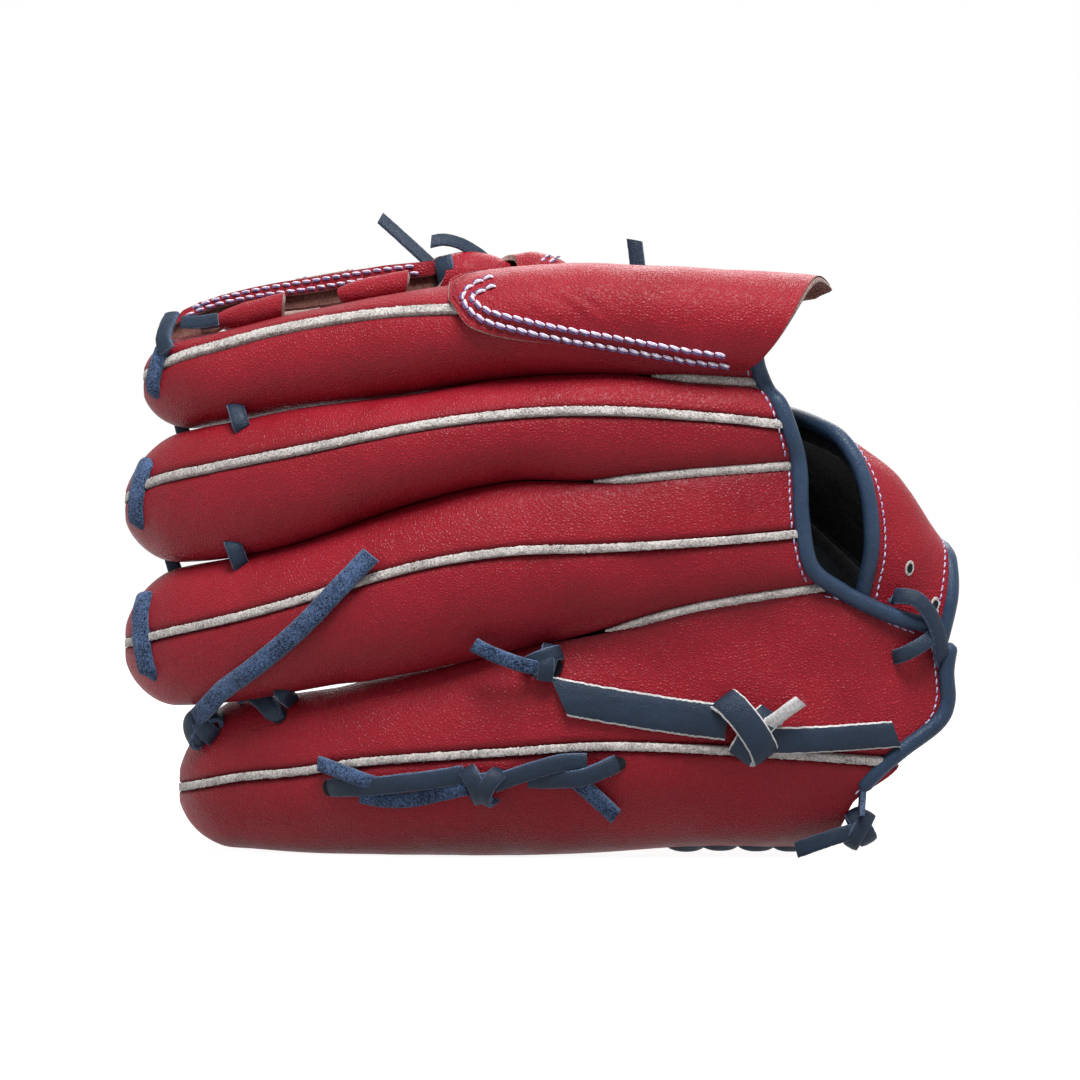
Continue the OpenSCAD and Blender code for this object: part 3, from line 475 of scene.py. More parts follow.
def make_object(name: str, vertices: np.ndarray, faces: Sequence, materials: Sequence[bpy.types.Material],
                slots: Sequence[int] | None = None, seam: np.ndarray | None = None) -> bpy.types.Object:
    """Makes a smooth mesh object from drawing coordinates.

    Args:
        name: The piece's name.
        vertices: Its points, in millimetres.
        faces: Its faces.
        materials: Its materials.
        slots: The material slot of each face, all the first if left out.
        seam: Painted shade at each point, from 0 to 1, which darkens the leather where seams and crotches
            fall into shade.

    Returns:
        The object.
    """
    mesh = bpy.data.meshes.new(name)
    mesh.from_pydata(to_frame(vertices).tolist(), [], [tuple(int(i) for i in f) for f in faces])
    for material in materials:
        mesh.materials.append(material)
    if slots is not None:
        mesh.polygons.foreach_set("material_index", np.asarray(slots, np.int32))
    mesh.polygons.foreach_set("use_smooth", np.ones(len(mesh.polygons), bool))
    mesh.set_sharp_from_angle(angle=math.radians(50))
    # Painted shade: a point attribute that darkens the red leather where seams and crotches fall into shade.
    attribute = mesh.attributes.new("seam", "FLOAT", "POINT")
    attribute.data.foreach_set("value", np.zeros(len(vertices),
                                                 np.float32) if seam is None else seam.astype(np.float32))
    mesh.validate()
    mesh.update()
    piece = bpy.data.objects.new(name, mesh)
    bpy.context.scene.collection.objects.link(piece)
    return piece


def shell(name: str, outer: Grid, inner: Grid, materials: Sequence[bpy.types.Material],
          seam: np.ndarray | None = None, bevel: float = 0.0) -> bpy.types.Object:
    """A closed sheet of leather between two grids, with a rounded rim.

    Args:
        name: The piece's name.
        outer: The grid of its face.
        inner: The grid of its back.
        materials: The materials of face, back and rim.
        seam: Painted shade at each point of the face, from 0 to 1, where seams and crotches fall into shade.
        bevel: How far the face stops short of the rim, so that the cut edge shows.

    Returns:
        The object.
    """
    n, m = outer.shape[:2]
    index = np.arange(n * m).reshape(n, m)
    face = np.stack((index[:-1, :-1], index[1:, :-1], index[1:, 1:], index[:-1, 1:]), -1).reshape(-1, 4)
    rim = np.concatenate((index[0, :], index[1:, -1], index[-1, -2::-1], index[-2:0:-1, 0]))
    inward = np.concatenate((index[1, :], index[1:, -2], index[-2, -2::-1], index[-2:0:-1, 1]))
    flat_outer, flat_inner = outer.reshape(-1, 3), inner.reshape(-1, 3)
    away = unit(flat_outer[rim] - flat_outer[inward])
    flat_outer = flat_outer.copy()
    flat_outer[rim] -= away * bevel
    thick = np.linalg.norm(flat_outer[rim] - flat_inner[rim], axis=1, keepdims=True)
    loops, rings = [rim], []
    bulges = (0.15, 0.5, 0.85)
    for k, t in enumerate(bulges):
        rings.append(mix(flat_outer[rim], flat_inner[rim], t) + away * thick * 0.22 * math.sin(math.pi * t))
        loops.append(2 * n * m + k * len(rim) + np.arange(len(rim)))
    loops.append(rim + n * m)
    sides = [np.stack((a, np.roll(a, -1), np.roll(b, -1), b), -1) for a, b in zip(loops, loops[1:])]
    vertices = np.concatenate((flat_outer, flat_inner, *rings))
    faces = np.concatenate((face, face[:, ::-1] + n * m, *sides))
    slots = np.concatenate((np.zeros(len(face)), np.ones(len(face)), np.full(sum(map(len, sides)), 2)))
    corners = vertices[faces]
    volume = np.einsum("ij,ij->", corners[:, 0],
                       np.cross(corners[:, 1], corners[:, 2]) + np.cross(corners[:, 2], corners[:, 3]))
    if volume < 0:
        faces = faces[:, ::-1]
    # Painted shade on the face only; the back and rim get none.
    depth = None if seam is None else np.concatenate((seam.ravel(), np.zeros(len(vertices) - n * m)))
    return make_object(name, vertices, faces, materials, slots, depth)


def tube_faces(count: int, sides: int, caps: bool = True, closed: bool = False) -> list[tuple[int, ...]]:
    """The faces of a tube of rings and its two ends, or of a tube that closes on itself."""
    faces = []
    for i in range(count if closed else count - 1):
        a, b = i * sides, (i + 1) % count * sides
        faces += [(a + j, a + (j + 1) % sides, b + (j + 1) % sides, b + j) for j in range(sides)]
    if caps:
        faces.append(tuple(range(sides))[::-1])
        faces.append(tuple((count - 1) * sides + j for j in range(sides)))
    return faces


class Gathered:
    """Tubes gathered into one mesh."""

    def __init__(self) -> None:
        """Starts with nothing."""
        self.vertices: list[np.ndarray] = []
        self.faces: list[tuple[int, ...]] = []
        self.slots: list[int] = []

    def add(self, points: Sequence, sides: int, slots: int | Sequence[int] = 0, **kind: bool) -> None:
        """Adds a tube.

        Args:
            points: The points of its rings, one ring after the other.
            sides: The number of points in a ring.
            slots: The material slot of all its faces, or of each.
            **kind: What tube_faces() takes.
        """
        base = len(self.vertices)
        made = tube_faces(len(points) // sides, sides, **kind)
        self.vertices += list(points)
        self.faces += [tuple(base + q for q in face) for face in made]
        self.slots += [slots] * len(made) if isinstance(slots, int) else slots

    def make(self, name: str, materials: Sequence[bpy.types.Material]) -> bpy.types.Object:
        """Makes the piece."""
        return make_object(name, np.array(self.vertices), self.faces, materials, self.slots)


def eye_points(middle: np.ndarray, out: np.ndarray, lead: np.ndarray, half: tuple[float, float],
               rings: Sequence, count: int) -> list[np.ndarray]:
    """The points of a punched eye, whose rings each have a size, as a share, and a height."""
    over = np.cross(out, lead)
    return [middle + lead * half[0] * size * math.cos(a) + over * half[1] * size * math.sin(a) + out * lift
            for size, lift in rings for a in np.linspace(0, 2 * math.pi, count, endpoint=False)]


def frames_along(path: np.ndarray, up: Point) -> tuple[np.ndarray, np.ndarray, np.ndarray]:
    """Tangents, side vectors and normals along a path.

    Args:
        path: The path's points.
        up: One direction that the normals keep near, or one for each point.

    Returns:
        Three arrays of unit vectors.
    """
    along = unit(np.gradient(path, axis=0))
    side = unit(np.cross(along, np.asarray(up, float)))
    return along, side, np.cross(side, along)


def strand(name: str, points: Sequence, radius: float, material: bpy.types.Material, sides: int = 16,
           flat: float = 1.0, up: Point = UP, step: float = 1.2) -> bpy.types.Object:
    """A round or flattened strand along a path.

    Args:
        name: The piece's name.
        points: The points that it follows.
        radius: Its radius.
        material: Its material.
        sides: The number of points around it.
        flat: Its height as a share of its width.
        up: The direction of its height.
        step: The distance between its rings.

    Returns:
        The object.
    """
    path = smooth_path(points, step)
    _, side, normal = frames_along(path, up)
    angles = np.linspace(0, 2 * math.pi, sides, endpoint=False)
    run = np.linspace(0, step * (len(path) - 1), len(path))
    close = np.clip(np.minimum(run, run[::-1]) / radius, 0, 1)
    sizes = radius * np.sqrt(np.maximum(1 - (1 - close) ** 2, 0.04))
    rings = [path[i] + sizes[i] * (1 + 0.03 * noise.noise(Vector(path[i]) / 9)) * (
        np.cos(angles)[:, None] * side[i] + flat * np.sin(angles)[:, None] * normal[i])
        for i in range(len(path))]
    return make_object(name, np.concatenate(rings), tube_faces(len(path), sides), (material,))


# Section of a lace: place across and height, both as shares; its face, edges and back follow each other.
LACE_SECTION = ((-0.5, 0.2), (-0.5, 0.8), (-0.45, 0.98), (-0.2, 1.03), (0.2, 1.03), (0.45, 0.98),
                (0.5, 0.8), (0.5, 0.2), (0.45, 0.02), (0.2, -0.03), (-0.2, -0.03), (-0.45, 0.02))
LACE_SLOTS = (2, 2, 0, 0, 0, 2, 2, 2, 1, 1, 1, 2)
# The same with its rough side out.
ROUGH_SLOTS = (2, 2, 1, 1, 1, 2, 2, 2, 0, 0, 0, 2)
# A lace wider than this hollows a little across its width.
SAGGING_WIDTH = 5


@dataclass(frozen=True)
class LaceFinish:
    """The materials of a lace's face, back and cut edges."""

    face: bpy.types.Material
    back: bpy.types.Material
    edge: bpy.types.Material


class LaceMesh(Gathered):
    """Laces, knots and wraps gathered into one piece."""

    def __init__(self, finish: LaceFinish) -> None:
        """Starts with nothing but the finish."""
        super().__init__()
        self.finish = finish

    def run(self, path: np.ndarray, normals: np.ndarray, width: float = LACE_WIDTH, thick: float = LACE,
            cuts: tuple[float, float] = (0, 0), rough: bool = False, closed: bool = False) -> None:
        """Adds a flat lace along a path.

        Args:
            path: The points under the middle of its back.
            normals: The direction out of its face at each point.
            width: Its width.
            thick: Its thickness.
            cuts: How far each end's cut slants, as a share of the width.
            rough: True to show its rough side.
            closed: True if the path ends where it starts.
        """
        along, side, normal = frames_along(path, normals)
        rng = random.Random(len(self.vertices) + round(abs(path[0][0]) * 10))
        count, points = len(path), []
        for i in range(count):
            ragged = width * (1 + rng.uniform(-0.025, 0.025))
            slant = sum(cut * width * max(0.0, 1 - steps / (abs(cut) * width + 1))
                        for cut, steps in zip(cuts, (i, count - 1 - i)))
            for a, b in LACE_SECTION:
                sag = -0.06 * width * (2 * a) ** 2 if width > SAGGING_WIDTH else 0
                points.append(path[i] + side[i] * ragged * a + normal[i] * (thick * b + sag)
                              + along[i] * slant * a)
        shown = ROUGH_SLOTS if rough else LACE_SLOTS
        slots = [*shown] * (count if closed else count - 1) + ([] if closed else [2, 2])
        self.add(points, len(LACE_SECTION), slots, caps=not closed, closed=closed)

    def on_finger(self, digit: Digit, places: Sequence, stiff: float = 0.0,
                  **kwargs: float | bool | tuple) -> None:
        """Adds a lace that lies on a finger's back, through places of x, z and lift.

        Args:
            digit: The finger.
            places: The places that it passes.
            stiff: How much it keeps flat across the finger and doesn't follow its slope.
            **kwargs: What run() takes.
        """
        line = smooth_path(places, 1.0)
        path = np.array([on_back(digit, x, z, lift) for x, z, lift in line])
        normals = np.array([back_normal(digit, x, z) for x, z, _ in line])
        self.run(path, unit(normals + stiff * TO_VIEWER), **kwargs)

    def free(self, points: Sequence, up: Point, **kwargs: float | bool | tuple) -> None:
        """Adds a lace through points, with its face towards one direction."""
        path = smooth_path(points, 1.0)
        self.run(path, np.tile(unit(up), (len(path), 1)), **kwargs)

    def wrap(self, centre: np.ndarray, out: np.ndarray, turn: float, reach: tuple[float, float],
             width: float = LACE_WIDTH, thick: float = LACE, shift: float = 0.0, tilt: float = 0.0) -> None:
        """Adds one turn of a knot: a closed loop of lace around a centre.

        Args:
            centre: The middle of the turn.
            out: The direction out of the leather.
            turn: The angle of the turn's plane about out, in degrees from the X axis.
            reach: Half its length across the leather, and half its height above it.
            width: The lace's width.
            thick: The lace's thickness.
            shift: How far the turn lies to the side of the centre.
            tilt: How far its top leans along its own side.
        """
        right = unit(np.cross(np.cross(out, (1.0, 0, 0)), out))
        over = np.cross(out, right)
        a = math.radians(turn)
        lead = right * math.cos(a) + over * math.sin(a)
        aside = np.cross(out, lead)
        angles = np.linspace(0, 2 * math.pi, 36, endpoint=False)
        path = np.array([centre + lead * reach[0] * math.cos(q) + out * reach[1] * math.sin(q)
                         + aside * (shift + tilt * math.sin(q)) for q in angles])
        normals = np.array([lead * math.cos(q) / reach[0] + out * math.sin(q) / reach[1] for q in angles])
        self.run(path, unit(normals), width=width, thick=thick, closed=True)

    def build(self, name: str) -> bpy.types.Object:
        """Makes the piece."""
        return self.make(name, (self.finish.face, self.finish.back, self.finish.edge))


class Stitching(Gathered):
    """Rows of thread, each stitch a short bent bead with a smaller dark violet bead beside it as its painted
    shadow.
    """

    def __init__(self, thread: bpy.types.Material, shade: bpy.types.Material, radius: float) -> None:
        """Starts with nothing but the thread, the painted shadow's material and the radius of a stitch."""
        super().__init__()
        self.thread, self.shade, self.radius = thread, shade, radius

    def bead(self, start: np.ndarray, end: np.ndarray, out: np.ndarray, radius: float, slot: int) -> None:
        """Adds one stitch from start to end."""
        sides, rings = 6, 5
        along = unit(end - start)
        side = unit(np.cross(along, out))
        points = []
        for i in range(rings):
            t = i / (rings - 1)
            size = radius * (0.35 + 0.65 * math.sin(math.pi * (0.12 + 0.76 * t)))
            middle = start + (end - start) * t + out * radius * (1.1 * math.sin(math.pi * t) - 0.35)
            for j in range(sides):
                a = 2 * math.pi * j / sides
                points.append(middle + size * (side * math.cos(a) + out * math.sin(a)))
        self.add(points, sides, slot)

    def row(self, path: np.ndarray, normals: np.ndarray, pitch: float = 3.9, fill: float = 0.8,
            with_shadow: bool = True) -> None:
        """Adds a row of stitches.

        Args:
            path: The points that it follows, closely spaced.
            normals: The direction out of the leather at each.
            pitch: The length of a stitch and its gap.
            fill: The stitch's share of that.
            with_shadow: True to lay the dark painted shadow beside each stitch.
        """
        run = np.concatenate(((0,), np.cumsum(np.linalg.norm(np.diff(path, axis=0), axis=1))))
        count = int(run[-1] / pitch)
        for i in range(count):
            ends = []
            for place in (i * pitch, (i + fill) * pitch):
                ends.append(np.array([np.interp(place, run, path[:, k]) for k in range(3)]))
            middle = (i + 0.5) * pitch
            out = unit(np.array([np.interp(middle, run, normals[:, k]) for k in range(3)]))
            aside = unit(np.cross(ends[1] - ends[0], out)) * self.radius
            self.bead(ends[0] - aside * 0.5, ends[1] + aside * 0.5, out, self.radius, 0)
            # The smaller dark violet bead is a painted shadow beside the stitch.
            if with_shadow:
                self.bead(ends[0] + aside * 1.1, ends[1] + aside * 1.9, out, self.radius * 0.7, 1)

    def build(self, name: str) -> bpy.types.Object:
        """Makes the piece."""
        return self.make(name, (self.thread, self.shade))


# ---- Finishes ----


def linear(code: str) -> tuple[float, float, float, float]:
    """An sRGB hex colour as linear red, green, blue and alpha."""
    parts = (int(code[i:i + 2], 16) / 255 for i in (1, 3, 5))
    red, green, blue = ((c / 12.92 if c <= 0.04045 else ((c + 0.055) / 1.055) ** 2.4) for c in parts)
    return red, green, blue, 1.0


def add_node(tree: bpy.types.NodeTree, kind: str, inputs: dict | None = None,
             **settings: object) -> bpy.types.Node:
    """Adds a node with its settings and links.

    Args:
        tree: The node tree.
        kind: The node's type.
        inputs: A value or an output socket for each input named or numbered.
        **settings: The node's own properties.

    Returns:
        The node.
    """
    made = tree.nodes.new(kind)
    for name, value in settings.items():
        setattr(made, name, value)
    for key, value in (inputs or {}).items():
        if isinstance(value, bpy.types.NodeSocket):
            tree.links.new(value, made.inputs[key])
        else:
            made.inputs[key].default_value = value
    return made


def math_node(tree: bpy.types.NodeTree, operation: str, *values: object) -> bpy.types.NodeSocket:
    """The result of a sum on values or sockets."""
    return add_node(tree, "ShaderNodeMath", dict(enumerate(values)), operation=operation).outputs[0]


class Recipe:
    """A material under construction, in the object's own coordinates in metres."""

    # The colour inputs and the colour output of a Mix node.
    MIX_A, MIX_B, MIX_RESULT = 6, 7, 2

    def __init__(self, name: str) -> None:
        """Starts with an empty node tree."""
        self.material = bpy.data.materials.new(name)
        self.material.use_nodes = True
        self.tree = self.material.node_tree
        self.tree.nodes.clear()
        self.where = add_node(self.tree, "ShaderNodeTexCoord").outputs["Object"]

    def noise(self, size_mm: float, detail: float, roughness: float = 0.5,
              distortion: float = 0.0) -> bpy.types.NodeSocket:
        """Soft noise with lumps of a size in millimetres."""
        return add_node(self.tree, "ShaderNodeTexNoise", {
            "Vector": self.where, "Scale": 1 / (size_mm * MM), "Detail": detail, "Roughness": roughness,
            "Distortion": distortion}).outputs["Fac"]

    def remap(self, value: bpy.types.NodeSocket, low: float, high: float,
              to: tuple[float, float] = (0.0, 1.0),
              kind: str = "LINEAR") -> bpy.types.NodeSocket:
        """A value between low and high, moved between two others."""
        return add_node(self.tree, "ShaderNodeMapRange", {
            "Value": value, "From Min": low, "From Max": high, "To Min": to[0], "To Max": to[1]},
            interpolation_type=kind).outputs["Result"]

    def blend(self, share: bpy.types.NodeSocket, *ends: str | bpy.types.NodeSocket) -> bpy.types.NodeSocket:
        """A colour between two, each a socket or an sRGB code."""
        low, high = (linear(end) if isinstance(end, str) else end for end in ends)
        return add_node(self.tree, "ShaderNodeMix", {"Factor": share, self.MIX_A: low, self.MIX_B: high},
                        data_type="RGBA").outputs[self.MIX_RESULT]

    def bump(self, height: bpy.types.NodeSocket, strength: float, relief_mm: float,
             under: bpy.types.NodeSocket | None = None) -> bpy.types.NodeSocket:
        """The normal of a relief, laid over another if there is one."""
        inputs = {"Height": height, "Strength": strength, "Distance": relief_mm * MM}
        return add_node(self.tree, "ShaderNodeBump",
                        inputs | ({"Normal": under} if under else {})).outputs["Normal"]

    def finish(self, colour: bpy.types.NodeSocket, roughness: float | bpy.types.NodeSocket,
               normal: bpy.types.NodeSocket, **more: float) -> bpy.types.Material:
        """Joins the shader to the output. Further inputs have _ for each space of their names."""
        shader = add_node(self.tree, "ShaderNodeBsdfPrincipled", {
            "Base Color": colour, "Roughness": roughness, "Normal": normal}
            | {name.replace("_", " "): value for name, value in more.items()})
        add_node(self.tree, "ShaderNodeOutputMaterial", {"Surface": shader.outputs["BSDF"]})
        return self.material


@dataclass(frozen=True)
class Leather:
    """Grained cowhide: pebbles with fine creases between them, uneven dye, and painted shade that darkens it
    towards its deep colour where seams and crotches fall into shade.
    """

    name: str
    colour: str
    deep: str
    bright: str
    roughness: float
    grain_mm: float
    relief_mm: float
    pull_mm: float = 9.0

    def material(self) -> bpy.types.Material:
        """Builds the leather's nodes."""
        recipe = Recipe(self.name)
        cloud = recipe.noise(26, 3.0, 0.6)
        pebble = add_node(recipe.tree, "ShaderNodeTexVoronoi", {
            "Vector": recipe.where, "Scale": 1 / (self.grain_mm * MM), "Randomness": 1.0},
            feature="DISTANCE_TO_EDGE")
        crease = recipe.remap(pebble.outputs["Distance"], 0.0, 0.45, kind="SMOOTHSTEP")
        pull = recipe.noise(self.pull_mm, 4.0, 0.55, 0.8)
        # Painted shade: the attribute set on each piece darkens the leather towards its deep colour in seams
        # and crotches.
        seam = add_node(recipe.tree, "ShaderNodeAttribute", attribute_name="seam").outputs["Fac"]
        dyed = recipe.blend(recipe.remap(cloud, 0.35, 0.7), self.colour, self.bright)
        grained = recipe.blend(recipe.remap(crease, 0.0, 1.0, (0.34, 0.0)), dyed, self.deep)
        seam_shaded = recipe.blend(math_node(recipe.tree, "MULTIPLY", seam, 0.75), grained, self.deep)
        gloss = recipe.remap(cloud, 0.3, 0.7, (self.roughness - 0.06, self.roughness + 0.08))
        relief = recipe.bump(pull, 0.35, 0.9, recipe.bump(crease, 0.75, self.relief_mm))
        return recipe.finish(seam_shaded, gloss, relief, IOR=1.46, Specular_IOR_Level=0.21)


@dataclass(frozen=True)
class Suede:
    """Split or napped leather: short loose fibres that catch the light in specks."""

    name: str
    dark: str
    light: str
    speck_mm: float
    relief_mm: float
    low: float = 0.38
    high: float = 0.66

    def material(self) -> bpy.types.Material:
        """Builds the suede's nodes."""
        recipe = Recipe(self.name)
        nap = recipe.noise(self.speck_mm, 3.0, 0.7, 0.6)
        patch = recipe.noise(7, 2.0)
        both = math_node(recipe.tree, "MULTIPLY_ADD", patch, 0.2,
                         math_node(recipe.tree, "MULTIPLY_ADD", nap, 0.8, 0.0))
        colour = recipe.blend(recipe.remap(both, self.low, self.high), self.dark, self.light)
        return recipe.finish(colour, 0.92, recipe.bump(nap, 0.8, self.relief_mm), Specular_IOR_Level=0.2,
                             Sheen_Weight=0.15, Sheen_Roughness=0.5)


@dataclass(frozen=True)
class Thread:
    """Twisted nylon thread: plies across it and a slight change of dye along it."""

    name: str
    dark: str
    light: str

    def material(self) -> bpy.types.Material:
        """Builds the thread's nodes."""
        recipe = Recipe(self.name)
        # The plies are 0.3 mm apart on the real thread and drawn 0.6 mm apart to show.
        ply = add_node(recipe.tree, "ShaderNodeTexWave", {
            "Vector": recipe.where, "Scale": 1 / (0.6 * MM * 2 * math.pi), "Distortion": 2.0},
            bands_direction="DIAGONAL").outputs["Fac"]
        return recipe.finish(recipe.blend(ply, self.dark, self.light), 0.55, recipe.bump(ply, 0.4, 0.1))


class Finishes:
    """Every material of the glove."""

    def __init__(self) -> None:
        """Builds the materials once."""
        # Dyed cowhide with a pressed grain: satin, with lighter patches at random.
        # Its deep colour is also the painted shade in seams and crotches.
        self.red = Leather("red_cowhide", "#9a1827", "#4a0912", "#a81f30", 0.41, 1.1, 0.28).material()
        # Finer, harder hide for the rolled edges: smoother, so its highlights are tighter.
        self.binding = Leather("navy_binding_calf", "#2c3f58", "#141d2a", "#374d69", 0.34, 0.8,
                               0.12).material()
        # Rawhide lacing, smooth side: waxed, with a soft shine.
        self.lace = Leather("navy_rawhide_lace", "#223041", "#101722", "#2b3b50", 0.44, 0.7, 0.12,
                            5.0).material()
        # Its back: brushed fibres, dark and pale blue specks.
        self.lace_suede = Suede("navy_lace_suede", "#101b30", "#5f7aa6", 0.6, 0.4, 0.42, 0.62).material()
        # Cut edges of the lacing: loose fibres, paler than its sides.
        self.lace_edge = Suede("navy_lace_cut_edge", "#1e2c44", "#6a7f9f", 0.6, 0.35).material()
        # Split leather of the welting: pale grey, fibrous.
        self.welt = Suede("grey_split_welting", "#6a6462", "#dcd5d1", 0.6, 0.4, 0.36, 0.58).material()
        # Cut edge of the red leather, where the undyed core shows.
        self.cut = Suede("cut_edge_of_cowhide", "#745550", "#c9afa6", 0.7, 0.4).material()
        # Undyed back of the wide tie.
        self.pale = Suede("undyed_leather_edge", "#a9a8ab", "#e9e7e6", 0.7, 0.3).material()
        # Flesh side of the red leather, seen inside the stalls.
        self.flesh = Suede("flesh_side_of_cowhide", "#5d3530", "#8f665c", 0.9, 0.35).material()
        self.thread = Thread("white_nylon_thread", "#cdbfe2", "#f4eef6").material()
        # Painted shadow beside each stitch, drawn as a dark violet thread.
        self.thread_shade = Thread("violet_nylon_thread", "#3c2a55", "#6d5a92").material()
        self.blue_thread = Thread("pale_blue_nylon_thread", "#8f93c4", "#dcd8ef").material()
        # Deerskin and fleece of the lining: black pile that eats light.
        self.fleece = Suede("black_fleece", "#090b10", "#232833", 1.6, 0.9, 0.42, 0.7).material()
        self.felt = Suede("pressed_wool_felt", "#a89e8a", "#ddd4c0", 1.0, 0.4).material()

    @property
    def hide(self) -> tuple[bpy.types.Material, ...]:
        """Face, back and rim of a panel of red leather."""
        return self.red, self.flesh, self.cut

    @property
    def lined(self) -> tuple[bpy.types.Material, ...]:
        """Face, back and rim of a panel that is lined on its back."""
        return self.red, self.fleece, self.red

    @property
    def lacing(self) -> LaceFinish:
        """Face, back and edges of a lace."""
        return LaceFinish(self.lace, self.lace_suede, self.lace_edge)

    @property
    def tie(self) -> LaceFinish:
        """The wide tie, with undyed edges and back."""
        return LaceFinish(self.lace, self.pale, self.pale)


# ---- Placing pieces ----

BODY_OF = {node: body for body, nodes in frame["record"]["behaviour"]["bodies"].items() for node in nodes}


def settle(piece: bpy.types.Object, slot: str, nodes: Sequence[str], rides_with: str | None = None,
           bends: tuple[Point, Point] | None = None) -> bpy.types.Object:
    """Puts a finished piece in place of its CAD nodes, on its body unless it is given bends.

    Args:
        piece: The piece.
        slot: The record's material slot; not used.
        nodes: The CAD nodes that it stands for.
        rides_with: A node whose body it rides on, if it stands for none.
        bends: Two points from the hand to the thumb, in drawing coordinates; a piece given these is left on
            no body and doesn't bend.

    Returns:
        The piece.
    """
    if bends:
        tuple(to_frame(bends[0]))
        tuple(to_frame(bends[1]))
        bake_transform(piece)
    else:
        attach(piece, BODY_OF[rides_with or nodes[0]])
    if nodes:
        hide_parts(*nodes)
    LOG.info("%s: %d points, for %s", piece.name, len(piece.data.vertices), ", ".join(nodes) or rides_with)
    return piece


# ---- Sub-assemblies ----

# A row of the bindings' fine thread.
FINE_ROW = {"pitch": 2.9, "fill": 0.75, "with_shadow": False}


@dataclass
class Part:
    """A sub-assembly, with the glove's finishes and what sews and laces it."""

    finishes: Finishes

    def stitches(self, radius: float = 0.42) -> Stitching:
        """A new set of stitches in white thread."""
        return Stitching(self.finishes.thread, self.finishes.thread_shade, radius)

    def fine_stitches(self) -> Stitching:
        """A new set of the bindings' fine blue stitches."""
        return Stitching(self.finishes.blue_thread, self.finishes.thread_shade, 0.3)

    def laces(self) -> LaceMesh:
        """A new set of laces."""
        return LaceMesh(self.finishes.lacing)


